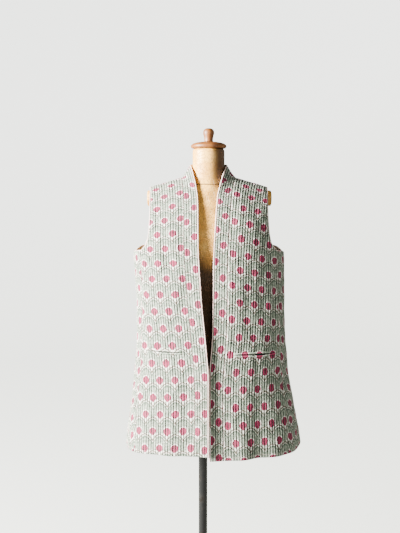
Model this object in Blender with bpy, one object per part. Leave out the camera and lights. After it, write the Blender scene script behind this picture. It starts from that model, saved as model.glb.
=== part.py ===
"""Quilted waistcoat, worn by a limbless dress form on a pole.

Sizes are in millimetres and become metres when a mesh is made. Z is up and the front faces -Y.
The origin is on the pole's axis, under the base. Points of garment and form are worked out about
the form's own centreline, which stands a little beside the pole.
"""

import math

import bpy
import numpy as np

MM = 0.001
CENTRE_X = 16.0  # the form's centreline, to the right of the pole's axis
GAP = 0.3  # between pieces that meet at a seam or a seat

# Cloth: a plain inside, and quilting raised on the outside.
WALL = 2.0
QUILT_PITCH = 7.5
QUILT_RISE = 0.9
INNER_EVERY = 4  # one inside column for each four outside ones

# The garment's outline at a height: half-widths to the left and right of the centreline,
# depths in front of it and behind it.
RING_COLUMNS = ("z", "left", "right", "front", "back")
RINGS = (
    (615, 246, 274, 141, 142),
    (690, 239, 264, 137, 137),
    (763, 229, 252, 133, 131),
    (850, 217, 235, 128, 124),
    (943, 209, 225, 124, 118),
    (1061, 209, 220, 120, 114),
    (1205, 216, 217, 118, 116),
)
RING_POWER = 2.4  # of the superellipse that each ring is

# Above the chest the cloth closes over the shoulders. DOME is its length from chest to ridge.
CHEST = 1205.0
DOME = 240.0
RIDGE = CHEST + DOME
FRONT_POWER = 1.8
BACK_POWER = 2.4
NECK_POINT = (79.0, 1416.0)  # where shoulder seam and collar seam meet: half-width, height
SHOULDER_TIP = (168.5, 1390.0)

# Front edges and side seams, as girth from the centre front at a level up the cloth.
EDGE_COLUMNS = ("level", "left", "right")
FRONT_EDGES = (
    (600, 0.4, 0.4),
    (869, 0.5, 0.5),
    (968, 9.0, 8.0),
    (1079, 19.5, 11.0),
    (1217, 28.0, 13.0),
    (1320, 30.0, 22.0),
    (1445, 39.0, 39.0),
)
BAND_WIDTH = 40.0
EDGING = 3.5
SIDE_SEAM_COLUMNS = ("level", "left", "right")
SIDE_SEAMS = (
    (600, 226, 240),
    (690, 223, 235),
    (850, 213, 222),
    (1061, 204, 210),
    (1205, 204, 205),
)

# The hem's height, from the centre front (share 0) round the side to the centre back (share 1).
HEM_COLUMNS = ("share", "left", "right")
HEM = (
    (0.0, 643, 626),
    (0.25, 637, 630),
    (0.5, 630, 631),
    (1.0, 634, 634),
)

# Soft folds of the skirt: side, girth from the centre front, half-breadth, rise, and top.
FOLD_COLUMNS = ("side", "girth", "breadth", "rise", "top")
FOLDS = (
    (1, 92, 24, 6.5, 900),
    (1, 140, 20, -5.5, 850),
    (1, 196, 26, 5.0, 880),
    (1, 300, 34, -6.0, 940),
    (1, 372, 30, 7.0, 900),
    (1, 470, 36, -6.0, 860),
    (-1, 104, 26, 5.0, 880),
    (-1, 158, 22, -5.0, 860),
    (-1, 290, 32, -6.0, 920),
    (-1, 362, 32, 6.5, 880),
    (-1, 455, 36, -5.5, 900),
)

# How far the front edges stand forward (or are set back) at a level, over this half-breadth.
KEEL_COLUMNS = ("level", "left", "right")
KEEL = (
    (600, 17, 16),
    (869, 12, 8),
    (1000, 9, 0),
    (1100, 8, -5),
    (1217, 7, -6),
    (1320, 5, -4),
    (1400, 0, 0),
)
KEEL_BREADTH = 50.0

# Rows of points up the cloth. Below the armholes they are shares of the way from the hem.
LOW_SHARES = (0.0, 0.13, 0.27, 0.42, 0.58, 0.78, 1.0)
UNDERARM = 1212.0
UNDERARM_DIP = 9.0
HIGH_LEVELS = (1230, 1250, 1282, 1320, 1355, 1390, 1420, 1434, 1445)

# The armhole's edge: distance from the centreline at a level, in front and behind.
ARMHOLE_COLUMNS = ("level", "front", "back")
ARMHOLE = (
    (1212, 192.0, 190.0),
    (1230, 177.0, 179.0),
    (1250, 171.0, 174.0),
    (1282, 167.5, 171.0),
    (1320, 166.0, 169.5),
    (1390, 167.0, 168.5),
    (1445, 168.5, 168.5),
)

# Collar: the neckline behind, and the free edge from the chest (way 0) past the shoulder (way 1)
# to the centre back (way 2).
NECK_BACK = 62.0
NECK_INSET = 1.0  # the collar's extra clearance between the shoulder and the centre back
COLLAR_START = 1320.0
COLLAR_BACK_ROWS = 8
COLLAR_COLUMNS = ("way", "left", "right", "y", "z")
COLLAR_EDGE = (
    (0.33, 33.5, 27.0, -69.0, 1381),
    (0.66, 40.0, 35.5, -51.0, 1412),
    (1.0, 49.5, 48.0, -16.0, 1446),
    (1.25, 53.0, 53.0, 12.0, 1454),
    (1.6, 39.0, 39.0, 40.0, 1457),
    (2.0, 0.0, 0.0, 55.0, 1458),
)
BAND_CHANNELS = 5

# Slit pockets, each with two lips: distance of its ends from the centreline, and its height.
POCKET_COLUMNS = ("side", "near", "far", "z")
POCKETS = ((-1, 75, 182, 930), (1, 70, 188, 923))
LIP_STEPS = 14
LIP_BASE = QUILT_RISE + 0.5
LIP_PROFILE = ((0.5, 0.0), (0.5, 1.5), (2.6, 2.0), (5.0, 1.2), (5.0, 0.0))

# The dress form.
FORM_COLUMNS = ("z", "half", "front", "back")
FORM_RINGS = (
    (830, 150, 100, 102),
    (870, 154, 103, 106),
    (950, 144, 97, 100),
    (1030, 126, 88, 86),
    (1110, 138, 98, 92),
    (1205, 158, 107, 104),
)
FORM_POWER = 2.2
FORM_SEAT = WALL + 0.6  # how far the form's shoulders lie under the cloth's outside
FORM_LOW_LEVELS = (830, 838, 870, 950, 1030, 1110, 1160, 1205)
FORM_HIGH_LEVELS = (1228, 1252, 1285, 1320, 1355, 1390, 1415, 1434, 1441)
FORM_AROUND = 48
ARM_ENDS = ((-1, 177.0), (1, 181.0))
ARM_ROOT = 100.0
ARM_CENTRE_Z = 1358.0
ARM_HALF_HEIGHT = 23.0
ARM_HALF_DEPTH = 27.0
ARM_SIDES = 20
NECK_TOP = 1499.7
NECK_PROFILE = (
    (0, 1330), (66, 1330), (74, 1356), (66, 1378), (57, 1398), (50, 1416),
    (46.8, 1434), (46, 1455), (46, NECK_TOP), (0, NECK_TOP),
)
CAP_PROFILE = (
    (0, 1500), (45, 1500), (49.5, 1502), (51.2, 1506), (50.5, 1510), (47, 1513.5),
    (38, 1516.5), (24, 1518.8), (0, 1519.7),
)
KNOB_PROFILE = (
    (0, 1520), (12.8, 1520), (12.5, 1526), (13.2, 1532), (15, 1538), (16, 1544),
    (15.4, 1549.5), (12.6, 1554), (7.5, 1557), (0, 1558),
)

# The stand under the form. Its base is out of the photo and is a plain low disc.
POLE_RADIUS = 13.0
BASE_RADIUS = 195.0
FORM_BOTTOM = FORM_RINGS[0][0]
BASE_PROFILE = (
    (0, 0), (BASE_RADIUS - 3, 0), (BASE_RADIUS, 3), (BASE_RADIUS, 9), (BASE_RADIUS - 5, 13),
    (120, 18), (40, 22), (24, 24), (24, 40), (21, 43), (0, 43),
)
POLE_PROFILE = (
    (0, 43.3), (POLE_RADIUS, 43.3), (POLE_RADIUS, 800), (20, 806), (48, 822),
    (48, FORM_BOTTOM - GAP), (0, FORM_BOTTOM - GAP),
)
TURNED_SIDES = 32


def table_curve(where, table, columns, name):
    """One column of a table at the places asked for, on a smooth curve through its rows."""
    rows = np.array(table, float)
    knots = rows[:, 0]
    values = rows[:, columns.index(name)]
    slopes = np.gradient(values, knots)
    where = np.clip(np.asarray(where, float), knots[0], knots[-1])
    after = np.clip(np.searchsorted(knots, where, side="right"), 1, len(knots) - 1)
    before = after - 1
    step = knots[after] - knots[before]
    t = (where - knots[before]) / step
    start = values[before] * (1 + 2 * t) * (1 - t) ** 2 + slopes[before] * step * t * (1 - t) ** 2
    end = values[after] * t * t * (3 - 2 * t) + slopes[after] * step * t * t * (t - 1)
    return start + end


def side_name(side):
    return "left" if side < 0 else "right"


def shoulder_height(x):
    """Height of the shoulder line at a distance from the centreline."""
    slope = (NECK_POINT[1] - SHOULDER_TIP[1]) / (SHOULDER_TIP[0] - NECK_POINT[0])
    return NECK_POINT[1] + (NECK_POINT[0] - np.abs(x)) * slope


def half_ring(side, level):
    """Half of the garment's outline, from centre front round the side to centre back."""
    level = np.minimum(np.atleast_1d(level), CHEST)
    width = table_curve(level, RINGS, RING_COLUMNS, side_name(side))[:, None]
    front = table_curve(level, RINGS, RING_COLUMNS, "front")[:, None]
    back = table_curve(level, RINGS, RING_COLUMNS, "back")[:, None]
    turn = np.linspace(0, math.pi, 161)[None, :]
    x = width * np.abs(np.sin(turn)) ** (2 / RING_POWER)
    depth = np.where(turn < math.pi / 2, -front, back)
    y = depth * np.abs(np.cos(turn)) ** (2 / RING_POWER)
    arc = np.hypot(np.diff(x, axis=1), np.diff(y, axis=1)).cumsum(axis=1)
    return x, y, np.hstack([np.zeros((len(arc), 1)), arc])


def half_girth(side, level):
    """Girth from the centre front to the centre back."""
    return half_ring(side, level)[2][:, -1]


def girth_at(side, level, distance, behind=False):
    """Girth from the centre front at which the outline is this far from the centreline."""
    x, y, arc = half_ring(side, level)
    widest = x[0].argmax()
    if behind:
        return float(np.interp(-distance, -x[0][widest:], arc[0][widest:]))
    return float(np.interp(distance, x[0][: widest + 1], arc[0][: widest + 1]))


def garment(side, girth, level):
    """Points of the cloth's outside, before its quilting."""
    girth = np.atleast_1d(np.asarray(girth, float))
    level = np.broadcast_to(np.asarray(level, float), girth.shape)
    xs, ys, arcs = half_ring(side, level)
    x = np.array([np.interp(g, arc, row) for g, arc, row in zip(girth, arcs, xs)])
    y = np.array([np.interp(g, arc, row) for g, arc, row in zip(girth, arcs, ys)])
    away = np.stack([x / 220**2, y / 125**2], 1)
    away /= np.linalg.norm(away, axis=1, keepdims=True)
    lift = np.zeros(len(x))
    for fold_side, place, breadth, rise, top in FOLDS:
        if fold_side == side:
            fade = np.clip((top - level) / (top - 630), 0, 1.1) ** 1.3
            lift += rise * fade * np.exp(-(((girth - place) / breadth) ** 2))
    keel = table_curve(level, KEEL, KEEL_COLUMNS, side_name(side))
    lift += keel * np.exp(-((girth / KEEL_BREADTH) ** 2))
    x = x + away[:, 0] * lift
    y = y + away[:, 1] * lift
    angle = np.clip((level - CHEST) / DOME, 0, 1) * math.pi / 2
    power = np.where(y < 0, FRONT_POWER, BACK_POWER)
    rise = np.sin(angle) ** (2 / power)
    z = np.where(level > CHEST, CHEST + (shoulder_height(x) - CHEST) * rise, level)
    y = y * np.abs(np.cos(angle)) ** (2 / power)
    return np.stack([side * x, y, z], 1)


def garment_normal(side, girth, level):
    """Directions straight out of the cloth."""
    level = np.broadcast_to(np.asarray(level, float), np.shape(girth))
    across = garment(side, girth + 0.8, level) - garment(side, np.maximum(girth - 0.8, 0), level)
    up = garment(side, girth, np.minimum(level + 0.8, RIDGE)) - garment(side, girth, level - 0.8)
    out = np.cross(across, up) * side
    out[level >= RIDGE - 0.01, 1] = 0
    return out / np.linalg.norm(out, axis=1, keepdims=True)


def hem_height(side, share):
    return table_curve(share, HEM, HEM_COLUMNS, side_name(side))


def mesh_object(name, points, faces, finish):
    """One named object with one material, from points in millimetres about the centreline."""
    mesh = bpy.data.meshes.new(name)
    mesh.from_pydata([tuple(point) for point in np.asarray(points) * MM], [], faces)
    mesh.update()
    piece = bpy.data.objects.new(name, mesh)
    piece.location.x = CENTRE_X * MM
    bpy.context.scene.collection.objects.link(piece)
    colour, roughness, metallic = finish
    material = bpy.data.materials.new(name)
    material.use_nodes = True
    shader = material.node_tree.nodes["Principled BSDF"]
    shader.inputs["Base Color"].default_value = (*colour, 1)
    shader.inputs["Roughness"].default_value = roughness
    shader.inputs["Metallic"].default_value = metallic
    mesh.materials.append(material)
    return piece


PRINTED_COTTON = ((0.42, 0.46, 0.36), 0.9, 0.0)
PALE_EDGE = ((0.72, 0.55, 0.50), 0.9, 0.0)
GOLD_LEATHER = ((0.42, 0.27, 0.11), 0.5, 0.0)
WARM_WOOD = ((0.42, 0.17, 0.05), 0.35, 0.0)
DARK_STEEL = ((0.05, 0.05, 0.05), 0.4, 1.0)


def strip_faces(columns, strips, ends):
    """Faces between rows of points, as keys (column, row). A column past a row's end is its end."""
    for row, (low, high) in enumerate(strips):
        inside = [column for column in columns if low <= column <= high]
        for left, right in zip(inside, inside[1:]):
            corners = []
            for column, level in ((left, row), (right, row), (right, row + 1), (left, row + 1)):
                key = (min(max(column, ends[level][0]), ends[level][1]), level)
                if key not in corners:
                    corners.append(key)
            if len(corners) > 2:
                yield corners


def rim_of(faces):
    """The keys along the edge of a sheet of faces, in order."""
    edges = {pair for face in faces for pair in zip(face, face[1:] + face[:1])}
    following = {a: b for a, b in edges if (b, a) not in edges}
    rim = [next(iter(sorted(following)))]
    while following[rim[-1]] != rim[0]:
        rim.append(following[rim[-1]])
    return rim


def cloth_wall(name, place, columns, strips, ends, corners, finish, facing):
    """A closed wall of cloth: ribbed outside, plain inside, and a rim between the two.

    place(column, row) gives a point of the ground cloth, its outward direction and its rise.
    facing is -1 where the columns run to the left as seen from outside.
    """
    inner_columns = [c for c in columns if c % INNER_EVERY == 0 or c in corners]
    outer_faces = list(strip_faces(columns, strips, ends))
    inner_faces = list(strip_faces(inner_columns, strips, ends))
    numbers = {}
    points = []
    for layer, faces in (("outer", outer_faces), ("inner", inner_faces)):
        for key in sorted({key for face in faces for key in face}):
            ground, out, rise = place(*key)
            numbers[layer, key] = len(points)
            points.append(ground + out * (rise if layer == "outer" else -WALL))
    built = [[numbers["outer", key] for key in face] for face in outer_faces]
    built += [[numbers["inner", key] for key in reversed(face)] for face in inner_faces]
    rim = rim_of(outer_faces)
    start = next(i for i, key in enumerate(rim) if ("inner", key) in numbers)
    rim = rim[start:] + rim[:start] + [rim[start]]
    run = [rim[0]]
    for key in rim[1:]:
        run.append(key)
        if ("inner", key) not in numbers:
            continue
        edge = [numbers["outer", k] for k in reversed(run)]
        near = numbers["inner", run[-1]]
        far = numbers["inner", run[0]]
        middle = (len(edge) - 1) // 2
        for i in range(len(edge) - 1):
            built.append([edge[i], edge[i + 1], near if i < middle else far])
        built.append([edge[middle], far, near])
        run = [key]
    if facing < 0:
        built = [face[::-1] for face in built]
    return mesh_object(name, points, built, finish)


def side_seam(side):
    """Level and girth of the side seam at each row below the armhole."""
    name = side_name(side)
    share = float(table_curve(0, SIDE_SEAMS, SIDE_SEAM_COLUMNS, name)) / half_girth(side, 700.0)[0]
    hem = float(hem_height(side, share))
    levels = [hem + (UNDERARM - hem) * share for share in LOW_SHARES]
    return [(z, float(table_curve(z, SIDE_SEAMS, SIDE_SEAM_COLUMNS, name))) for z in levels]


def ends_within(limit_low, limit_high, half_pitch):
    """Column numbers whose places fill a row, with its ends as the first and last of them."""
    low = math.ceil(limit_low / half_pitch + 0.4) - 1
    high = math.floor(limit_high / half_pitch - 0.4) + 1
    return low, high


def make_front(side):
    """A front: from the band's seam to the side seam and armhole, and up to the shoulder."""
    half_pitch = QUILT_PITCH / 2
    name = side_name(side)

    def seam(level):
        return float(table_curve(level, FRONT_EDGES, EDGE_COLUMNS, name)) + BAND_WIDTH

    def level_of(row, girth):
        if row >= len(LOW_SHARES):
            return float(HIGH_LEVELS[row - len(LOW_SHARES)])
        share = girth / float(half_girth(side, 700.0)[0])
        hem = float(hem_height(side, share))
        return hem + (UNDERARM - hem) * LOW_SHARES[row]

    edges = [(level, girth - GAP / 2) for level, girth in side_seam(side)]
    for level in HIGH_LEVELS:
        distance = float(table_curve(level, ARMHOLE, ARMHOLE_COLUMNS, "front"))
        edges.append((float(level), girth_at(side, CHEST, distance)))
    rows = len(edges)
    widths = [girth - seam(level) for level, girth in edges]
    ends = [(0, ends_within(0, width, half_pitch)[1]) for width in widths]
    widest = max(end[1] for end in ends)

    def place(column, row):
        last = column == ends[row][1]
        level = level_of(row, BAND_WIDTH + column * half_pitch)
        girth = seam(level) + column * half_pitch
        if last:
            level, girth = edges[row]
        point = garment(side, girth, level)[0]
        out = garment_normal(side, np.array([girth]), level)[0]
        if row == rows - 1:
            point[1] = -GAP / 2
        rise = QUILT_RISE if column % 2 and not last else 0.0
        return point, out, rise

    cloth_wall(
        f"front_{name}", place, range(widest + 1), [(0, widest)] * (rows - 1), ends,
        {0, widest}, PRINTED_COTTON, side,
    )


def make_back():
    """The back: from side seam to side seam, and up to armholes, shoulders and neckline."""
    half_pitch = QUILT_PITCH / 2
    low_rows = len(LOW_SHARES)
    rows = low_rows + len(HIGH_LEVELS)
    arm_start = {}
    seam_reach = {}
    for side in (-1, 1):
        whole = float(half_girth(side, CHEST)[0])
        start = whole - girth_at(side, CHEST, ARMHOLE[0][2], behind=True)
        arm_start[side] = round(start / half_pitch)
        seam = float(table_curve(CHEST, SIDE_SEAMS, SIDE_SEAM_COLUMNS, side_name(side)))
        seam_reach[side] = whole - seam

    def neck_level(x):
        """The level of the back neckline at a distance from the centreline."""
        if abs(x) >= NECK_POINT[0]:
            return RIDGE
        behind = NECK_BACK * math.sqrt(1 - (x / NECK_POINT[0]) ** 2)
        chest_girth = half_girth(1, CHEST)[0] - abs(x)
        depth = garment(1, chest_girth, CHEST)[0][1]
        angle = math.acos((behind / depth) ** (BACK_POWER / 2))
        return CHEST + DOME * angle / (math.pi / 2)

    def level_of(row, side, reach):
        if row < low_rows:
            share = 1 - reach / float(half_girth(side, 700.0)[0])
            hem = float(hem_height(side, share))
            start = arm_start[side] * half_pitch
            way = np.clip((reach - start) / (seam_reach[side] - start), 0, 1)
            underarm = UNDERARM - UNDERARM_DIP * math.sin(math.pi * way) ** 2
            return hem + (underarm - hem) * LOW_SHARES[row]
        top = neck_level(reach)
        share = (HIGH_LEVELS[row - low_rows] - UNDERARM) / (RIDGE - UNDERARM)
        return UNDERARM + (top - UNDERARM) * share

    def edges_of(side):
        """Level and girth of the back's edge on one side, up its side seam and armhole."""
        edges = [(level, girth + GAP / 2) for level, girth in side_seam(side)]
        for level in HIGH_LEVELS:
            distance = float(table_curve(level, ARMHOLE, ARMHOLE_COLUMNS, "back"))
            edges.append((float(level), girth_at(side, CHEST, distance, behind=True)))
        return edges

    edges = {side: edges_of(side) for side in (-1, 1)}
    reaches = {
        side: [float(half_girth(side, level)[0]) - girth for level, girth in edges[side]]
        for side in (-1, 1)
    }
    ends = [ends_within(-reaches[-1][row], reaches[1][row], half_pitch) for row in range(rows)]
    widest = (min(end[0] for end in ends), max(end[1] for end in ends))
    upper = (-arm_start[-1], arm_start[1])
    strips = [widest] * (low_rows - 1) + [upper] * (rows - low_rows)

    def place(column, row):
        side = -1 if column < 0 else 1
        last = column in ends[row]
        level = level_of(row, side, abs(column) * half_pitch)
        girth = float(half_girth(side, level)[0]) - abs(column) * half_pitch
        if last:
            level, girth = edges[side][row]
        point = garment(side, girth, level)[0]
        out = garment_normal(side, np.array([girth]), level)[0]
        if level >= RIDGE - 0.01:
            point[1] = GAP / 2
        rise = QUILT_RISE if column % 2 and not last else 0.0
        return point, out, rise

    corner = round(NECK_POINT[0] / half_pitch)
    beside_neck = [side * (corner + step) for side in (-1, 1) for step in (-4, -2, -1, 0, 1)]
    cloth_wall(
        "back", place, range(widest[0], widest[1] + 1), strips, ends,
        {*widest, *upper, *beside_neck}, PRINTED_COTTON, -1,
    )


def band_rows(side):
    """The band's seam and free edge, from the hem to the centre back, and the way along each."""
    name = side_name(side)
    hem = float(hem_height(side, 0.04))
    levels = [hem + (UNDERARM - hem) * share for share in LOW_SHARES] + list(HIGH_LEVELS)
    rows = []
    start_girth = float(table_curve(COLLAR_START, FRONT_EDGES, EDGE_COLUMNS, name))
    start = garment(side, start_girth, COLLAR_START)[0]
    collar = ((0.0, abs(start[0]), abs(start[0]), start[1], start[2]), *COLLAR_EDGE)
    for level in levels:
        edge = float(table_curve(level, FRONT_EDGES, EDGE_COLUMNS, name))
        seam = garment(side, edge + BAND_WIDTH - GAP, level)[0]
        if level <= COLLAR_START:
            middle = garment(side, edge + BAND_WIDTH / 2, level)[0]
            rows.append((seam, middle, garment(side, edge, level)[0]))
            continue
        way = (level - COLLAR_START) / (RIDGE - COLLAR_START)
        rows.append((seam, None, collar_point(side, way, collar)))
    for step in range(1, COLLAR_BACK_ROWS + 1):
        turn = math.pi / 2 * step / COLLAR_BACK_ROWS
        inset = GAP + NECK_INSET * math.sin(2 * turn)
        x = (NECK_POINT[0] - inset) * math.cos(turn)
        behind = (NECK_BACK - inset) * math.sin(turn)
        depth = garment(side, half_girth(side, CHEST)[0] - x, CHEST)[0][1]
        share = (1 - (behind / depth) ** BACK_POWER) ** (1 / BACK_POWER)
        z = CHEST + (shoulder_height(x) - CHEST) * share
        free = collar_point(side, 1 + step / COLLAR_BACK_ROWS, collar)
        rows.append((np.array([side * x, behind, z]), None, free))
    for point in rows[-1][::2]:
        point[0] = side * GAP / 2
    return rows


def collar_point(side, way, collar):
    """A point of the collar's free edge."""
    axes = (side_name(side), "y", "z")
    x, y, z = (float(table_curve(way, collar, COLLAR_COLUMNS, axis)) for axis in axes)
    return np.array([side * x, y, z])


def make_band(side):
    """The front band and stand collar in one strip, with its quilting lengthwise."""
    columns = 2 * BAND_CHANNELS
    grid = []
    for seam, middle, free in band_rows(side):
        toward = free - seam
        length = np.linalg.norm(toward)
        end = free - toward / length * (EDGING + GAP)
        bow = np.zeros(3) if middle is None else middle - (seam + free) / 2
        row = []
        for column in range(columns + 1):
            t = column / columns
            row.append(seam + (end - seam) * t + bow * 4 * t * (1 - t))
        grid.append(row)
    grid = np.array(grid)
    out = np.cross(np.gradient(grid, axis=0), np.gradient(grid, axis=1)) * side
    out /= np.linalg.norm(out, axis=2, keepdims=True)
    out[-1, :, 0] = 0

    def place(column, row):
        return grid[row][column], out[row][column], QUILT_RISE * (column % 2)

    rows = len(grid)
    cloth_wall(
        f"band_{side_name(side)}", place, range(columns + 1), [(0, columns)] * (rows - 1),
        [(0, columns)] * rows, {columns}, PRINTED_COTTON, -side,
    )
    return grid, out


def tube(name, centres, across, out, half_width, half_height, sides, finish):
    """A closed tube of oval section along a line of centres."""
    points = []
    for centre, a, b in zip(centres, across, out):
        for i in range(sides):
            turn = 2 * math.pi * i / sides
            points.append(centre + a * math.cos(turn) * half_width + b * math.sin(turn) * half_height)
    faces = []
    for row in range(len(centres) - 1):
        for i in range(sides):
            j = (i + 1) % sides
            low = row * sides
            faces.append([low + i, low + j, low + sides + j, low + sides + i])
    faces.append(list(range(sides))[::-1])
    faces.append([(len(centres) - 1) * sides + i for i in range(sides)])
    volume_sign = np.dot(np.cross(across[0], out[0]), centres[1] - centres[0])
    if volume_sign < 0:
        faces = [face[::-1] for face in faces]
    return mesh_object(name, points, faces, finish)


def make_edging(side, out):
    """The pale rolled edge along the band and collar."""
    centres = []
    across = []
    for (seam, _, free), direction in zip(band_rows(side), out[:, -1]):
        toward = (free - seam) / np.linalg.norm(free - seam)
        centres.append(free - toward * EDGING / 2 - direction * WALL / 2)
        across.append(toward)
    tube(
        f"edging_{side_name(side)}", centres, across, out[:, -1], EDGING / 2, EDGING / 2 + 0.2, 6,
        PALE_EDGE,
    )


def make_pocket(side, near, far, z):
    """Two lips of a slit pocket, made from the front's own points, moved out."""
    start = girth_at(side, z, near)
    end = girth_at(side, z, far)
    girths = np.linspace(start, end, LIP_STEPS + 1)
    count = len(LIP_PROFILE)
    for lip, way in (("upper", 1), ("lower", -1)):
        points = []
        for girth in girths:
            for drop, height in LIP_PROFILE:
                level = z + way * drop
                ground = garment(side, girth, level)[0]
                out = garment_normal(side, np.array([girth]), level)[0]
                points.append(ground + out * (LIP_BASE + height))
        faces = [list(range(count)), [LIP_STEPS * count + i for i in reversed(range(count))]]
        for step in range(LIP_STEPS):
            for i in range(count):
                j = (i + 1) % count
                low = step * count
                faces.append([low + i, low + count + i, low + count + j, low + j])
        if side * way < 0:
            faces = [face[::-1] for face in faces]
        mesh_object(f"pocket_{lip}_{side_name(side)}", points, faces, PRINTED_COTTON)


def form_ring(level):
    """One ring of the form, from its right side round the back."""
    low = min(level, CHEST)
    half, front, back = (
        float(table_curve(low, FORM_RINGS, FORM_COLUMNS, name)) for name in ("half", "front", "back")
    )
    ring = []
    for i in range(FORM_AROUND):
        turn = 2 * math.pi * i / FORM_AROUND
        x = half * math.copysign(abs(math.cos(turn)) ** (2 / FORM_POWER), math.cos(turn))
        depth = back if turn < math.pi else front
        y = depth * math.copysign(abs(math.sin(turn)) ** (2 / FORM_POWER), math.sin(turn))
        z = level
        if level > CHEST:
            angle = (level - CHEST) / DOME * math.pi / 2
            power = BACK_POWER if turn < math.pi else FRONT_POWER
            z = CHEST + (shoulder_height(x) - FORM_SEAT - CHEST) * math.sin(angle) ** (2 / power)
            y *= math.cos(angle) ** (2 / power)
        ring.append((x, y, z))
    return ring


def turned(name, profile, finish, sides=TURNED_SIDES, centre_x=0.0):
    """A turned piece about its own upright axis, from a profile of radius and height."""
    points = []
    rows = []
    for radius, height in profile:
        if radius == 0:
            rows.append([len(points)] * sides)
            points.append((centre_x, 0, height))
            continue
        rows.append(list(range(len(points), len(points) + sides)))
        for i in range(sides):
            turn = 2 * math.pi * i / sides
            points.append((centre_x + radius * math.cos(turn), radius * math.sin(turn), height))
    faces = []
    for low, high in zip(rows, rows[1:]):
        for i in range(sides):
            j = (i + 1) % sides
            face = [low[i], low[j], high[j], high[i]]
            faces.append([n for k, n in enumerate(face) if n not in face[:k]])
    piece = mesh_object(name, points, faces, finish)
    piece.data.shade_smooth()
    piece.data.set_sharp_from_angle(angle=math.radians(35))
    return piece


def join_to(piece, helper):
    """Unite a helper solid with a piece, and leave the helper out of the model."""
    helper.hide_render = True
    helper.display_type = "WIRE"
    helper.hide_set(True)
    union = piece.modifiers.new("join", "BOOLEAN")
    union.operation = "UNION"
    union.object = helper


def make_form():
    """The dress form: torso, neck and two short arm ends in one closed shell."""
    points = []
    for level in (*FORM_LOW_LEVELS, *FORM_HIGH_LEVELS):
        points += form_ring(level)
    around = FORM_AROUND
    rings = len(points) // around
    faces = [list(range(around))[::-1]]
    for ring in range(rings - 1):
        for i in range(around):
            j = (i + 1) % around
            low = ring * around
            faces.append([low + i, low + j, low + around + j, low + around + i])
    ridge = len(points)
    points += form_ring(RIDGE)[: around // 2 + 1]
    low = (rings - 1) * around
    for i in range(around):
        j = (i + 1) % around
        top_i = ridge + min(i, around - i)
        top_j = ridge + min(j, around - j)
        face = [low + i, low + j, top_j, top_i]
        faces.append([n for k, n in enumerate(face) if n not in face[:k]])
    torso = mesh_object("form_torso", points, faces, GOLD_LEATHER)
    for side, reach in ARM_ENDS:
        points = []
        for x in (ARM_ROOT, reach):
            for i in range(ARM_SIDES):
                turn = 2 * math.pi * i / ARM_SIDES
                y = ARM_HALF_DEPTH * math.cos(turn)
                points.append((side * x, y, ARM_CENTRE_Z + ARM_HALF_HEIGHT * math.sin(turn)))
        faces = [list(range(ARM_SIDES))[::-1], list(range(ARM_SIDES, 2 * ARM_SIDES))]
        for i in range(ARM_SIDES):
            j = (i + 1) % ARM_SIDES
            faces.append([i, j, ARM_SIDES + j, ARM_SIDES + i])
        if side < 0:
            faces = [face[::-1] for face in faces]
        join_to(torso, mesh_object(f"arm_end_{side_name(side)}", points, faces, GOLD_LEATHER))
    join_to(torso, turned("neck", NECK_PROFILE, GOLD_LEATHER, FORM_AROUND))


def main():
    for thing in list(bpy.data.objects):
        bpy.data.objects.remove(thing)
    for side in (-1, 1):
        make_front(side)
        _, out = make_band(side)
        make_edging(side, out)
    make_back()
    for side, near, far, z in POCKETS:
        make_pocket(side, near, far, z)
    make_form()
    turned("neck_cap", CAP_PROFILE, WARM_WOOD)
    turned("cap_knob", KNOB_PROFILE, WARM_WOOD, 24)
    turned("pole", POLE_PROFILE, DARK_STEEL, 24, -CENTRE_X)
    turned("base", BASE_PROFILE, DARK_STEEL, 48, -CENTRE_X)


main()
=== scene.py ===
import math

import bpy
import numpy as np
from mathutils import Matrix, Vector
from mathutils.bvhtree import BVHTree


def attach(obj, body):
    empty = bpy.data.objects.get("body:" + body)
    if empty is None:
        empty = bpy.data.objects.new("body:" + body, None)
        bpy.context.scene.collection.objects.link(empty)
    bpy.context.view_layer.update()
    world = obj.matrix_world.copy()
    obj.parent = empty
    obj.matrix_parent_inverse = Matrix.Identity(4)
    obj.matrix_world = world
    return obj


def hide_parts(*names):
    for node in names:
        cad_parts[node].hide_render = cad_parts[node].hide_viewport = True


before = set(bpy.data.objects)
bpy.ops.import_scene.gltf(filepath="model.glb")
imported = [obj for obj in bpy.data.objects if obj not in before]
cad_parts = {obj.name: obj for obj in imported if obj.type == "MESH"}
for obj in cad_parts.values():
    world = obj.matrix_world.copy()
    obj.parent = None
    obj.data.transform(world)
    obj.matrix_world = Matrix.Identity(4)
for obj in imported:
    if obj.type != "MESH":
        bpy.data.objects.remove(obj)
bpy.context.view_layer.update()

# The stage: a pale floor that turns up into a pale round wall, like a photographer's cove.
# It is wide enough for the camera to look at the part from any side.
STAGE_FLOOR_RADIUS = 4.4
STAGE_WALL_RADIUS = 5.6
STAGE_HEIGHT = 5.0
STAGE_DIM = 0.75
STAGE_GLOW = 0.03
STAGE_SEEN = 3.3


def put(name, points, faces, smooth=True):
    """A mesh object in the scene, from points in metres."""
    mesh = bpy.data.meshes.new(name)
    mesh.from_pydata([tuple(point) for point in points], [], faces)
    mesh.update()
    if smooth:
        mesh.shade_smooth()
    piece = bpy.data.objects.new(name, mesh)
    bpy.context.scene.collection.objects.link(piece)
    return piece


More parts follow.
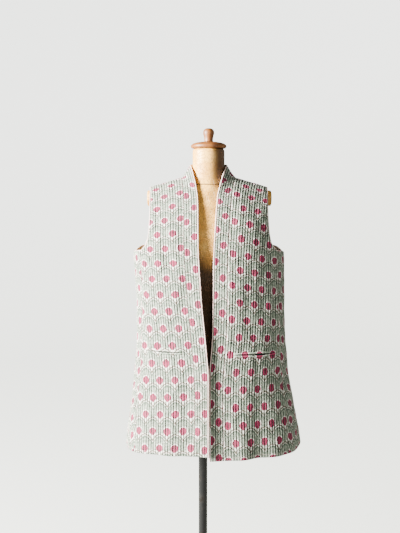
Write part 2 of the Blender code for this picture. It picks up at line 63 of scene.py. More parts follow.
def turned_mesh(name, profile, sides, centre_x=0.0):
    """A turned piece about an upright axis, from a profile of radius and height in metres."""
    points = []
    rows = []
    for radius, height in profile:
        if radius == 0:
            rows.append([len(points)] * sides)
            points.append((centre_x, 0, height))
            continue
        rows.append(list(range(len(points), len(points) + sides)))
        for i in range(sides):
            turn = 2 * math.pi * i / sides
            points.append((centre_x + radius * math.cos(turn), radius * math.sin(turn), height))
    faces = []
    for low, high in zip(rows, rows[1:]):
        for i in range(sides):
            j = (i + 1) % sides
            face = [low[i], low[j], high[j], high[i]]
            faces.append([n for k, n in enumerate(face) if n not in face[:k]])
    return put(name, points, faces)


stage_profile = [(0, 0), (STAGE_FLOOR_RADIUS, 0)]
for step in range(1, 13):
    turn = math.pi / 2 * step / 12
    sweep = STAGE_WALL_RADIUS - STAGE_FLOOR_RADIUS
    stage_profile.append(
        (STAGE_FLOOR_RADIUS + sweep * math.sin(turn), sweep * (1 - math.cos(turn)))
    )
stage_profile.append((STAGE_WALL_RADIUS, STAGE_HEIGHT))
stage = turned_mesh("stage", stage_profile, 96)
stage.data.flip_normals()

# Daylight from a large window on the left, a weak return from the right, and the room's own light.
LIGHTS = (
    # name, place, aim, width, height, watts, colour
    ("window", (-2.45, -0.92, 1.75), (0.0, 0.0, 1.05), 0.9, 1.5, 1120, (1.0, 0.985, 0.95)),
    ("return", (1.4, -3.2, 1.7), (0.0, 0.0, 1.0), 2.2, 1.8, 40, (0.97, 1.0, 0.98)),
)
for name, place, aim, width, height, watts, colour in LIGHTS:
    lamp = bpy.data.lights.new(name, "AREA")
    lamp.shape = "RECTANGLE"
    lamp.size = width
    lamp.size_y = height
    lamp.energy = watts
    lamp.color = colour
    lamp_object = bpy.data.objects.new(name, lamp)
    lamp_object.location = place
    lamp_object.rotation_euler = (Vector(aim) - Vector(place)).to_track_quat("-Z", "Y").to_euler()
    bpy.context.scene.collection.objects.link(lamp_object)
world = bpy.data.worlds.new("room_light")
world.use_nodes = True
world.node_tree.nodes["Background"].inputs["Color"].default_value = (0.93, 0.96, 1.0, 1)
world.node_tree.nodes["Background"].inputs["Strength"].default_value = 0.12
bpy.context.scene.world = world

# The camera stands where the photographer did: in front, at neck height, tilted a little down.
CAMERA_PLACE = (-0.009, -2.2, 1.36)
CAMERA_TILT = 5.2
CAMERA_LENS = 51.2
camera = bpy.data.objects.new("camera", bpy.data.cameras.new("camera"))
camera.location = CAMERA_PLACE
camera.rotation_euler = (math.radians(90 - CAMERA_TILT), 0, 0)
camera.data.lens = CAMERA_LENS
camera.data.sensor_width = 36
bpy.context.scene.collection.objects.link(camera)
bpy.context.scene.camera = camera


# Small tools for materials, and the stage's own paint. The wall glows a little for the camera, as
# the photo's bright wall does, and lights the object less.
def material_named(name):
    """A new node material, with its tree and its Principled shader."""
    material = bpy.data.materials.new(name)
    material.use_nodes = True
    tree = material.node_tree
    return material, tree, tree.nodes["Principled BSDF"]


def feed(tree, socket, value):
    """Link a socket, or set its value."""
    if isinstance(value, bpy.types.NodeSocket):
        tree.links.new(value, socket)
    elif isinstance(value, tuple) and len(value) == 3 and socket.type == "RGBA":
        socket.default_value = (*value, 1)
    else:
        socket.default_value = value


def sums(tree, operation, *values):
    """The result of a Math node."""
    node = tree.nodes.new("ShaderNodeMath")
    node.operation = operation
    for socket, value in zip(node.inputs, values):
        feed(tree, socket, value)
    return node.outputs[0]


def ramp(tree, value, low, high, start=0.0, end=1.0):
    """A soft step: value mapped from low..high to start..end."""
    node = tree.nodes.new("ShaderNodeMapRange")
    node.interpolation_type = "SMOOTHSTEP"
    for name, number in (
        ("Value", value), ("From Min", low), ("From Max", high), ("To Min", start), ("To Max", end),
    ):
        feed(tree, node.inputs[name], number)
    return node.outputs["Result"]


def blend_colour(tree, share, first, second):
    """Two colours mixed by a share."""
    node = tree.nodes.new("ShaderNodeMix")
    node.data_type = "RGBA"
    feed(tree, node.inputs[0], share)
    feed(tree, node.inputs[6], first)
    feed(tree, node.inputs[7], second)
    return node.outputs[2]


def cloud(tree, vector, scale, detail=3.0, roughness=0.55, stretch=None):
    """Soft noise from 0 to 1 over a vector."""
    if stretch:
        mapping = tree.nodes.new("ShaderNodeMapping")
        feed(tree, mapping.inputs["Vector"], vector)
        mapping.inputs["Scale"].default_value = stretch
        vector = mapping.outputs[0]
    node = tree.nodes.new("ShaderNodeTexNoise")
    feed(tree, node.inputs["Vector"], vector)
    node.inputs["Scale"].default_value = scale
    node.inputs["Detail"].default_value = detail
    node.inputs["Roughness"].default_value = roughness
    return node.outputs["Fac"]


def place_of(tree):
    return tree.nodes.new("ShaderNodeTexCoord").outputs["Object"]


def bumped(tree, shader, height, distance, strength=1.0):
    """Relief from a height, fed to the shader's normal."""
    node = tree.nodes.new("ShaderNodeBump")
    node.inputs["Distance"].default_value = distance
    node.inputs["Strength"].default_value = strength
    feed(tree, node.inputs["Height"], height)
    tree.links.new(node.outputs[0], shader.inputs["Normal"])


def node_group(name, inputs, outputs):
    """A shader node group with named inputs and outputs, and its own two end nodes."""
    group = bpy.data.node_groups.new(name, "ShaderNodeTree")
    for label, kind in inputs:
        group.interface.new_socket(name=label, in_out="INPUT", socket_type=kind)
    for label, kind in outputs:
        group.interface.new_socket(name=label, in_out="OUTPUT", socket_type=kind)
    return group, group.nodes.new("NodeGroupInput"), group.nodes.new("NodeGroupOutput")


def use_group(tree, group, **inputs):
    """A node group in a material, with its inputs fed."""
    node = tree.nodes.new("ShaderNodeGroup")
    node.node_tree = group
    for name, value in inputs.items():
        feed(tree, node.inputs[name], value)
    return node.outputs


stage_paint, tree, shader = material_named("stage_paint")
where = place_of(tree)
axes = tree.nodes.new("ShaderNodeSeparateXYZ")
feed(tree, axes.inputs[0], where)
# Painted shade: the backdrop's paint darkens from the upper left towards the lower right, as light falls off
# from the window, and its glow carries it.
painted_shade_slope = sums(tree, "MULTIPLY_ADD", axes.outputs["X"], -0.35, axes.outputs["Z"])
paint = blend_colour(tree, ramp(tree, painted_shade_slope, -1.2, 2.6), (0.80, 0.82, 0.73), (0.90, 0.915, 0.88))
paint = blend_colour(tree, ramp(tree, cloud(tree, where, 0.5, 2), 0.3, 0.7, 0, 0.25), paint, (0.84, 0.85, 0.79))
feed(tree, shader.inputs["Base Color"], blend_colour(tree, STAGE_DIM, paint, (0, 0, 0)))
feed(tree, shader.inputs["Emission Color"], paint)
shader.inputs["Roughness"].default_value = 0.95
ray = tree.nodes.new("ShaderNodeLightPath")
glow = sums(tree, "MULTIPLY_ADD", ray.outputs["Is Camera Ray"], STAGE_SEEN, STAGE_GLOW)
feed(tree, shader.inputs["Emission Strength"], glow)
stage.data.materials.append(stage_paint)


# The stand: a cast disc base with a small socket, and a steel pole with a flange under the form.
# Both are turned, painted black and worn to bare metal in places.
def metal_wear():
    """Where paint has worn to bare metal, and fine upright streaks, from a place in metres."""
    group, given, made = node_group(
        "metal_wear",
        [("Place", "NodeSocketVector"), ("Low", "NodeSocketFloat"), ("High", "NodeSocketFloat")],
        [("Wear", "NodeSocketFloat"), ("Streak", "NodeSocketFloat")],
    )
    place = given.outputs["Place"]
    blotch = cloud(group, place, 34, 6, 0.65)
    wear = ramp(group, blotch, given.outputs["Low"], given.outputs["High"])
    feed(group, made.inputs["Wear"], wear)
    feed(group, made.inputs["Streak"], cloud(group, place, 90, 3, 0.5, (1, 1, 0.06)))
    return group


wear_group = metal_wear()


def worn_metal(name, paint, bare, wear_low, wear_high):
    material, tree, shader = material_named(name)
    worn = use_group(tree, wear_group, Place=place_of(tree), Low=wear_low, High=wear_high)
    wear = worn["Wear"]
    streak = worn["Streak"]
    colour = blend_colour(tree, wear, paint, bare)
    colour = blend_colour(tree, sums(tree, "MULTIPLY", streak, 0.35), colour, (0.02, 0.018, 0.016))
    feed(tree, shader.inputs["Base Color"], colour)
    feed(tree, shader.inputs["Metallic"], ramp(tree, wear, 0.2, 0.9, 0.35, 0.9))
    feed(tree, shader.inputs["Roughness"], ramp(tree, streak, 0.2, 0.8, 0.32, 0.5))
    bumped(tree, shader, sums(tree, "ADD", wear, streak), 0.0003, 0.4)
    return material


MM = 0.001
CENTRE_X = 16.0
POLE_RADIUS = 13.0
BASE_RADIUS = 195.0
BASE_PROFILE = (
    (0, 0), (BASE_RADIUS - 3, 0), (BASE_RADIUS - 0.9, 0.9), (BASE_RADIUS, 3), (BASE_RADIUS, 9),
    (BASE_RADIUS - 1.5, 11.5), (BASE_RADIUS - 5, 13), (160, 16), (120, 18), (80, 20.2), (40, 22),
    (27, 22.6), (24.6, 23.4), (24, 25), (24, 39), (23.3, 41.6), (21, 43), (0, 43),
)
POLE_PROFILE = (
    (0, 43.3), (POLE_RADIUS - 0.5, 43.3), (POLE_RADIUS, 44), (POLE_RADIUS, 796), (15, 801),
    (20, 806), (46, 820.5), (48, 822.5), (48, 829.7), (0, 829.7),
)


def scaled(profile):
    return [(radius * MM, height * MM) for radius, height in profile]


def seat(piece, material, slot, *nodes):
    """Give a piece its material, and put it in place of its nodes of the frame. The slot is not used."""
    piece.data.materials.append(material)
    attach(piece, "root")
    if nodes:
        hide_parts(*nodes)
    return piece


black_iron = worn_metal("black_iron", (0.035, 0.034, 0.033), (0.12, 0.10, 0.085), 0.56, 0.7)
worn_steel = worn_metal("worn_steel", (0.009, 0.0095, 0.010), (0.048, 0.042, 0.037), 0.50, 0.70)
base = turned_mesh("cast_base", scaled(BASE_PROFILE), 160)
base.data.set_sharp_from_angle(angle=math.radians(40))
seat(base, black_iron, "dark_steel", "base")
pole = turned_mesh("steel_pole", scaled(POLE_PROFILE), 64)
pole.data.set_sharp_from_angle(angle=math.radians(40))
seat(pole, worn_steel, "dark_steel", "pole")

# The neck cap and its knob: turned beech, stained a warm orange brown, with fine rings of grain
# and a soft wax shine. The knob is glued on the cap.
CAP_PROFILE = (
    (0, 1500), (45, 1500), (48, 1500.7), (50.2, 1502.6), (51.2, 1505.4), (51, 1508.2),
    (49.6, 1510.6), (47, 1512.2), (46.2, 1512.6), (45.6, 1513.4), (42, 1515), (34, 1517.1),
    (24, 1518.7), (12, 1519.5), (0, 1519.7),
)
KNOB_PROFILE = (
    (0, 1520), (12.9, 1520), (12.6, 1521.5), (12.4, 1525), (12.7, 1529), (13.4, 1533),
    (14.6, 1537), (15.6, 1541), (16, 1544.5), (15.7, 1548), (14.6, 1551.4), (12.5, 1554.2),
    (9.4, 1556.4), (5.6, 1557.6), (0, 1558),
)
wax_wood, tree, shader = material_named("wax_wood")
where = place_of(tree)
grain = cloud(tree, where, 60, 5, 0.6, (1, 1, 0.16))
rings = cloud(tree, where, 26, 4, 0.5, (0.35, 0.35, 3.2))
colour = blend_colour(tree, ramp(tree, grain, 0.3, 0.7), (0.27, 0.094, 0.014), (0.13, 0.038, 0.005))
colour = blend_colour(tree, ramp(tree, rings, 0.5, 0.75, 0, 0.5), colour, (0.08, 0.020, 0.004))
feed(tree, shader.inputs["Base Color"], colour)
feed(tree, shader.inputs["Roughness"], ramp(tree, grain, 0.2, 0.8, 0.40, 0.56))
shader.inputs["Coat Weight"].default_value = 0.12
shader.inputs["Coat Roughness"].default_value = 0.35
bumped(tree, shader, grain, 0.0002, 0.5)
cap = turned_mesh("wooden_cap", scaled(CAP_PROFILE), 96, CENTRE_X * MM)
seat(cap, wax_wood, "warm_wood", "neck_cap")
knob = turned_mesh("wooden_knob", scaled(KNOB_PROFILE), 64, CENTRE_X * MM)
seat(knob, wax_wood, "warm_wood", "cap_knob")

# The form: papier-mache over a mould, covered in thin hide that has aged to gold and brown, with
# fine cracks, and cut off flat at the arms. It is one shell from the hip to the top of the neck.
# Its colour also holds painted shade on the right of the neck and a painted shadow on the lower torso.
FORM_COLUMNS = ("z", "half", "front", "back")
FORM_RINGS = (
    (830, 150, 100, 102),
    (870, 154, 103, 106),
    (950, 144, 97, 100),
    (1030, 126, 88, 86),
    (1110, 138, 98, 92),
    (1205, 158, 107, 104),
)
FORM_POWER = 2.2
FORM_SEAT = 2.6
FORM_AROUND = 160
CHEST = 1205.0
DOME = 240.0
RIDGE = CHEST + DOME
FRONT_POWER = 1.8
BACK_POWER = 2.4
NECK_POINT = (79.0, 1416.0)
SHOULDER_TIP = (168.5, 1390.0)
ARM_ENDS = ((-1, 177.0), (1, 181.0))
ARM_ROOT = 100.0
ARM_CENTRE_Z = 1358.0
ARM_HALF_HEIGHT = 23.0
ARM_HALF_DEPTH = 27.0
NECK_PROFILE = (
    (0, 1330), (66, 1330), (74, 1356), (66, 1378), (57, 1398), (50, 1416),
    (46.8, 1434), (46, 1455), (46, 1499.7), (0, 1499.7),
)
FORM_VOXEL = 4.0
FORM_SMOOTHING = 8


def table_curve(where, table, columns, name):
    """One column of a table at the places asked for, on a smooth curve through its rows."""
    rows = np.array(table, float)
    knots = rows[:, 0]
    values = rows[:, columns.index(name)]
    slopes = np.gradient(values, knots)
    where = np.clip(np.asarray(where, float), knots[0], knots[-1])
    after = np.clip(np.searchsorted(knots, where, side="right"), 1, len(knots) - 1)
    before = after - 1
    step = knots[after] - knots[before]
    t = (where - knots[before]) / step
    start = values[before] * (1 + 2 * t) * (1 - t) ** 2 + slopes[before] * step * t * (1 - t) ** 2
    end = values[after] * t * t * (3 - 2 * t) + slopes[after] * step * t * t * (t - 1)
    return start + end


def shoulder_height(x):
    """Height of the shoulder line at a distance from the centreline."""
    slope = (NECK_POINT[1] - SHOULDER_TIP[1]) / (SHOULDER_TIP[0] - NECK_POINT[0])
    return NECK_POINT[1] + (NECK_POINT[0] - np.abs(x)) * slope


def to_metres(points):
    points = np.asarray(points, float) * MM
    points[..., 0] += CENTRE_X * MM
    return points


def form_ring(level):
    """One ring of the form, from its right side round the back."""
    low = min(level, CHEST)
    half, front, back = (
        float(table_curve(low, FORM_RINGS, FORM_COLUMNS, name)) for name in ("half", "front", "back")
    )
    turn = 2 * np.pi * np.arange(FORM_AROUND) / FORM_AROUND
    x = half * np.sign(np.cos(turn)) * np.abs(np.cos(turn)) ** (2 / FORM_POWER)
    depth = np.where(turn < np.pi, back, front)
    y = depth * np.sign(np.sin(turn)) * np.abs(np.sin(turn)) ** (2 / FORM_POWER)
    z = np.full(FORM_AROUND, float(level))
    if level > CHEST:
        angle = (level - CHEST) / DOME * math.pi / 2
        power = np.where(turn < np.pi, BACK_POWER, FRONT_POWER)
        z = CHEST + (shoulder_height(x) - FORM_SEAT - CHEST) * math.sin(angle) ** (2 / power)
        y = y * math.cos(angle) ** (2 / power)
    return np.stack([x, y, z], 1)


def make_form():
    levels = [*np.arange(830, 1205, 12.5), *np.linspace(1205, 1442, 34)]
    points = np.concatenate([form_ring(level) for level in levels])
    around = FORM_AROUND
    faces = [list(range(around))[::-1]]
    for ring in range(len(levels) - 1):
        for i in range(around):
            j = (i + 1) % around
            low = ring * around
            faces.append([low + i, low + j, low + around + j, low + around + i])
    ridge = len(points)
    points = np.concatenate([points, form_ring(RIDGE)[: around // 2 + 1]])
    low = (len(levels) - 1) * around
    for i in range(around):
        j = (i + 1) % around
        face = [low + i, low + j, ridge + min(j, around - j), ridge + min(i, around - i)]
        faces.append([n for k, n in enumerate(face) if n not in face[:k]])
    torso = put("dress_form", to_metres(points), faces)
    helpers = [turned_mesh("neck_blank", scaled(NECK_PROFILE), 96, CENTRE_X * MM)]
    for side, reach in ARM_ENDS:
        sides = 64
        turn = 2 * np.pi * np.arange(sides) / sides
        rings = []
        for x, tight in ((ARM_ROOT, 0), (reach - 2, 0), (reach - 0.5, 0.8), (reach, 2.5)):
            y = (ARM_HALF_DEPTH - tight) * np.cos(turn)
            z = ARM_CENTRE_Z + (ARM_HALF_HEIGHT - tight) * np.sin(turn)
            rings.append(np.stack([np.full(sides, side * x), y, z], 1))
        faces = [list(range(sides))[::-1], [3 * sides + i for i in range(sides)]]
        for ring in range(3):
            for i in range(sides):
                j = (i + 1) % sides
                low = ring * sides
                faces.append([low + i, low + j, low + sides + j, low + sides + i])
        if side < 0:
            faces = [face[::-1] for face in faces]
        helpers.append(put("arm_blank", to_metres(np.concatenate(rings)), faces))
    for helper in helpers:
        union = torso.modifiers.new("join", "BOOLEAN")
        union.operation = "UNION"
        union.object = helper
    remesh = torso.modifiers.new("shell", "REMESH")
    remesh.mode = "VOXEL"
    remesh.voxel_size = FORM_VOXEL * MM
    soften = torso.modifiers.new("soften", "SMOOTH")
    soften.factor = 0.5
    soften.iterations = FORM_SMOOTHING
    settled = bpy.data.meshes.new_from_object(
        torso.evaluated_get(bpy.context.evaluated_depsgraph_get())
    )
    torso.modifiers.clear()
    torso.data = settled
    settled.shade_smooth()
    for helper in helpers:
        bpy.data.objects.remove(helper)
    return torso


aged_hide, tree, shader = material_named("aged_hide")
where = place_of(tree)
height = tree.nodes.new("ShaderNodeSeparateXYZ")
feed(tree, height.inputs[0], where)
mottle = cloud(tree, where, 9, 6, 0.62)
patches = cloud(tree, where, 26, 5, 0.6)
streaks = cloud(tree, where, 22, 4, 0.6, (1, 1, 0.22))
cracks = tree.nodes.new("ShaderNodeTexVoronoi")
cracks.feature = "DISTANCE_TO_EDGE"
cracks.inputs["Scale"].default_value = 95
bent = tree.nodes.new("ShaderNodeVectorMath")
bent.operation = "MULTIPLY_ADD"
warp = tree.nodes.new("ShaderNodeTexNoise")
warp.inputs["Scale"].default_value = 40
feed(tree, warp.inputs["Vector"], where)
feed(tree, bent.inputs[0], warp.outputs["Color"])
bent.inputs[1].default_value = (0.02, 0.02, 0.02)
feed(tree, bent.inputs[2], where)
feed(tree, cracks.inputs["Vector"], bent.outputs[0])
crack = ramp(tree, cracks.outputs["Distance"], 0.0, 0.06, 1, 0)
colour = blend_colour(tree, ramp(tree, patches, 0.36, 0.62), (0.94, 0.53, 0.12), (0.72, 0.35, 0.055))
colour = blend_colour(tree, ramp(tree, mottle, 0.54, 0.70, 0, 0.55), colour, (0.20, 0.072, 0.014))
colour = blend_colour(tree, ramp(tree, streaks, 0.60, 0.72, 0, 0.5), colour, (0.085, 0.030, 0.008))
# Painted shade: the right side of the neck, and less so the chest under it, is darkened towards dark brown, as
# on the side turned from the window.
on_neck = ramp(tree, height.outputs["Z"], 1.375, 1.425, 0.30, 0.95)
shade_right_of_neck = ramp(tree, height.outputs["X"], 0.012, 0.048)
shade_right_of_neck = sums(tree, "MULTIPLY", shade_right_of_neck, on_neck)
colour = blend_colour(tree, shade_right_of_neck, colour, (0.070, 0.026, 0.009))
# Painted shadow: below a sloping line the torso is painted near black, as where the waistcoat's fronts shade
# it, and it is made rougher there.
painted_shadow_edge = sums(tree, "MULTIPLY_ADD", height.outputs["X"], 0.45, height.outputs["Z"])
painted_shadow_low = ramp(tree, sums(tree, "MULTIPLY_ADD", mottle, 0.05, painted_shadow_edge), 1.175, 1.265, 1, 0)
colour = blend_colour(tree, sums(tree, "MULTIPLY", painted_shadow_low, 0.96), colour, (0.012, 0.0025, 0.0015))
colour = blend_colour(tree, sums(tree, "MULTIPLY", crack, 0.45), colour, (0.11, 0.045, 0.018))
collar_line = sums(tree, "ABSOLUTE", sums(tree, "SUBTRACT", height.outputs["Z"], 1.397))
joint = ramp(tree, collar_line, 0.0006, 0.0022, 0.8, 0)
colour = blend_colour(tree, joint, colour, (0.05, 0.02, 0.01))
feed(tree, shader.inputs["Base Color"], colour)
dull = sums(tree, "MULTIPLY", painted_shadow_low, 0.45)
feed(tree, shader.inputs["Roughness"], sums(tree, "ADD", ramp(tree, patches, 0.3, 0.7, 0.34, 0.55), dull))
relief = sums(tree, "SUBTRACT", sums(tree, "MULTIPLY", patches, 0.8), sums(tree, "MULTIPLY", crack, 0.5))
relief = sums(tree, "SUBTRACT", relief, joint)
bumped(tree, shader, relief, 0.0012, 0.9)
form = make_form()
seat(form, aged_hide, "gold_leather", "form_torso")

# The waistcoat's cloth: two layers of block-printed cotton with a thin wadding, hand-quilted in
# narrow upright channels. Its ground surface is worked out once as a lattice on each side, with
# soft folds and creases set one by one, and every panel is cut from it.
RING_COLUMNS = ("z", "left", "right", "front", "back")
RINGS = (
    (615, 246, 274, 141, 142),
    (690, 239, 264, 137, 137),
    (763, 229, 252, 133, 131),
    (850, 217, 235, 128, 124),
    (943, 209, 225, 124, 118),
    (1061, 209, 220, 120, 114),
    (1205, 216, 217, 118, 116),
)
RING_POWER = 2.4
FOLDS = (
    # side, girth from the centre front, half-breadth, rise, and top
    (1, 92, 24, 6.5, 900),
    (1, 140, 20, -5.5, 850),
    (1, 196, 26, 5.0, 880),
    (1, 300, 34, -6.0, 940),
    (1, 372, 30, 7.0, 900),
    (1, 470, 36, -6.0, 860),
    (-1, 104, 26, 5.0, 880),
    (-1, 158, 22, -5.0, 860),
    (-1, 290, 32, -6.0, 920),
    (-1, 362, 32, 6.5, 880),
    (-1, 455, 36, -5.5, 900),
)
FOLD_FOOT = 630.0
KEEL_COLUMNS = ("level", "left", "right")
KEEL = (
    (600, 17, 6),
    (869, 13, 0),
    (1000, 10, -4),
    (1100, 8, -5),
    (1217, 7, -6),
    (1320, 5, -4),
    (1400, 0, 0),
)
KEEL_BREADTH = 50.0
CREASES = (
    # side, girth and level of its two ends, half-breadth, and rise at its middle
    (-1, 186, 1212, 150, 1168, 6, -2.6),
    (-1, 190, 1188, 158, 1128, 7, -2.2),
    (-1, 172, 1206, 128, 1178, 8, 1.6),
    (-1, 128, 1330, 118, 1120, 10, -1.8),
    (-1, 152, 1352, 146, 1196, 8, -1.6),
    (-1, 96, 1300, 88, 1010, 12, 1.6),
    (-1, 150, 1090, 140, 930, 11, -2.2),
    (-1, 176, 1010, 168, 860, 9, 2.2),
    (-1, 150, 905, 92, 838, 9, -2.4),
    (-1, 130, 902, 66, 800, 8, 2.0),
    (-1, 198, 862, 158, 846, 6, -2.6),
    (-1, 206, 812, 166, 792, 7, -2.4),
    (-1, 190, 760, 150, 700, 9, 2.4),
    (-1, 70, 860, 58, 690, 11, -1.8),
    (1, 188, 1212, 160, 1160, 6, -2.4),
    (1, 176, 1206, 132, 1186, 8, 1.5),
    (1, 66, 1352, 60, 1180, 9, -1.8),
    (1, 92, 1380, 84, 1230, 9, 1.5),
    (1, 196, 1150, 196, 940, 8, -3.2),
    (1, 176, 1120, 172, 960, 9, 2.4),
    (1, 110, 1120, 104, 960, 12, -1.6),
    (1, 198, 948, 168, 914, 6, -2.6),
    (1, 206, 902, 180, 850, 7, 2.2),
    (1, 128, 900, 150, 760, 10, -2.0),
    (1, 216, 772, 184, 706, 9, -3.4),
    (1, 236, 742, 206, 668, 8, 3.2),
    (1, 60, 800, 74, 680, 10, 1.8),
    (-1, 352, 1206, 392, 1150, 8, -2.4),
    (-1, 420, 1330, 440, 1120, 13, -1.8),
    (-1, 480, 1100, 470, 930, 13, 2.0),
    (-1, 336, 1010, 380, 940, 9, -2.6),
    (-1, 262, 1120, 268, 930, 10, -2.6),
    (1, 356, 1206, 398, 1158, 8, -2.4),
    (1, 436, 1310, 452, 1130, 13, 1.8),
    (1, 500, 1080, 486, 900, 14, -2.0),
    (1, 344, 1000, 392, 952, 9, 2.4),
    (1, 268, 1100, 276, 920, 10, -2.8),
)
WAVE_RISE = 1.3
LATTICE_STEP = 4.0
LATTICE_BOTTOM = RIDGE - 212 * LATTICE_STEP
LATTICE_COLUMNS = 200
SIDES = {-1: "left", 1: "right"}


def soft_noise(seed, across, up):
    """Smooth noise from -1 to 1 at places given in cells of a random grid."""
    grid = np.random.default_rng(seed).uniform(-1, 1, (64, 256))
    a = np.asarray(across, float) % 64
    b = np.asarray(up, float) % 256
    a0 = a.astype(int)
    b0 = b.astype(int)
    s = a - a0
    t = b - b0
    s = s * s * (3 - 2 * s)
    t = t * t * (3 - 2 * t)
    a1 = (a0 + 1) % 64
    b1 = (b0 + 1) % 256
    low = grid[a0, b0] * (1 - s) + grid[a1, b0] * s
    high = grid[a0, b1] * (1 - s) + grid[a1, b1] * s
    return low * (1 - t) + high * t


def half_ring(side, level):
    """Half of the garment's outline, from centre front round the side to centre back."""
    level = min(level, CHEST)
    width = table_curve(level, RINGS, RING_COLUMNS, SIDES[side])
    turn = np.linspace(0, math.pi, 641)
    depth = np.where(
        turn < math.pi / 2,
        -table_curve(level, RINGS, RING_COLUMNS, "front"),
        table_curve(level, RINGS, RING_COLUMNS, "back"),
    )
    x = width * np.abs(np.sin(turn)) ** (2 / RING_POWER)
    y = depth * np.abs(np.cos(turn)) ** (2 / RING_POWER)
    arc = np.hypot(np.diff(x), np.diff(y)).cumsum()
    return x, y, np.concatenate([[0.0], arc])


def lay_side(side):
    """The cloth's ground on one side: half girths, points and outward directions."""
    levels = LATTICE_BOTTOM + LATTICE_STEP * np.arange(213)
    share = np.linspace(0, 1, LATTICE_COLUMNS + 1)
    points = np.zeros((len(levels), len(share), 3))
    lifts = np.zeros(points.shape[:2])
    totals = np.zeros(len(levels))
    for row, level in enumerate(levels):
        xs, ys, arc = half_ring(side, level)
        totals[row] = arc[-1]
        girth = share * arc[-1]
        x = np.interp(girth, arc, xs)
        y = np.interp(girth, arc, ys)
        away = np.stack([x / 220**2, y / 125**2])
        away /= np.linalg.norm(away, axis=0)
        lift = np.zeros(len(x))
        for fold_side, place, breadth, rise, top in FOLDS:
            if fold_side == side:
                fade = min(max((top - level) / (top - FOLD_FOOT), 0), 1.1) ** 1.3
                lift += rise * fade * np.exp(-(((girth - place) / breadth) ** 2))
        keel = table_curve(level, KEEL, KEEL_COLUMNS, SIDES[side])
        lift += keel * np.exp(-((girth / KEEL_BREADTH) ** 2))
        x = x + away[0] * lift
        y = y + away[1] * lift
        angle = min(max((level - CHEST) / DOME, 0), 1) * math.pi / 2
        power = np.where(y < 0, FRONT_POWER, BACK_POWER)
        z = np.full(len(x), float(level))
        if level > CHEST:
            z = CHEST + (shoulder_height(x) - CHEST) * math.sin(angle) ** (2 / power)
        y = y * abs(math.cos(angle)) ** (2 / power)
        points[row] = np.stack([side * x, y, z], 1)
        from_back = side * (arc[-1] - girth)
        wave = soft_noise(5, 32 + from_back / 34, 40 + level / 47)
        wave = wave + 0.6 * soft_noise(6, 32 + from_back / 15, 40 + level / 26)
        easy = min(max((1405 - level) / 120, 0), 1)
        flat_back = 1 - 0.6 * (y > 0)
        lifts[row] = WAVE_RISE * wave * easy * flat_back
        for crease_side, g0, l0, g1, l1, breadth, rise in CREASES:
            if crease_side != side:
                continue
            run = np.array([g1 - g0, l1 - l0], float)
            along = ((girth - g0) * run[0] + (level - l0) * run[1]) / (run @ run)
            held = np.clip(along, 0, 1)
            apart = np.hypot(girth - g0 - run[0] * held, level - l0 - run[1] * held)
            shape = np.exp(-((apart / breadth) ** 2)) * np.sin(math.pi * np.clip(along, 0.04, 0.96))
            lifts[row] += rise * shape
    def directions():
        out = np.cross(np.gradient(points, axis=1), np.gradient(points, axis=0)) * side
        out[-1, :, 1] = 0
        out[:, [0, -1], 0] = 0
        return out / np.linalg.norm(out, axis=2, keepdims=True)
    points += directions() * lifts[..., None]
    points[:, [0, -1], 0] = 0
    return totals, points, directions()


grounds = {side: lay_side(side) for side in (-1, 1)}


def on_cloth(side, girth, level):
    """Points of the ground cloth at girths and levels, and their outward directions."""
    totals, points, out = grounds[side]
    row = np.clip((np.asarray(level, float) - LATTICE_BOTTOM) / LATTICE_STEP, 0, 211.9999)
    low = row.astype(int)
    up = row - low
    total = totals[low] * (1 - up) + totals[low + 1] * up
    column = np.clip(girth / total, 0, 0.999999) * LATTICE_COLUMNS
    left = column.astype(int)
    over = (column - left)[..., None]
    up = up[..., None]
    mixed = []
    for grid in (points, out):
        bottom = grid[low, left] * (1 - over) + grid[low, left + 1] * over
        top = grid[low + 1, left] * (1 - over) + grid[low + 1, left + 1] * over
        mixed.append(bottom * (1 - up) + top * up)
    return mixed[0], mixed[1] / np.linalg.norm(mixed[1], axis=-1, keepdims=True)


def total_girth(side, level):
    row = np.clip((np.asarray(level, float) - LATTICE_BOTTOM) / LATTICE_STEP, 0, 211.9999)
    return np.interp(row, np.arange(213), grounds[side][0])


def girth_at(side, distance, behind=False):
    """Girth from the centre front at which the chest is this far from the centreline."""
    x, y, arc = half_ring(side, CHEST)
    widest = x.argmax()
    if behind:
        return float(np.interp(-distance, -x[widest:], arc[widest:]))
    return float(np.interp(distance, x[: widest + 1], arc[: widest + 1]))


def cloth_length(side, girth):
    """Length up the cloth at each level of the lattice, along one girth, from level 600."""
    levels = LATTICE_BOTTOM + LATTICE_STEP * np.arange(213)
    points = on_cloth(side, np.full(213, float(girth)), levels)[0]
    length = np.concatenate([[0], np.linalg.norm(np.diff(points, axis=0), axis=1).cumsum()])
    return levels, length


# Printed cotton. The block print is a half-drop of one crimson flower head in a cream outline,
# with a brown stem, under a brown fish-scale arch, on sage. It is charted in millimetres
# about a flower's centre, and evaluated for the two interlocking rows.
PRINT_ACROSS = 42.5
PRINT_UP = 97.5


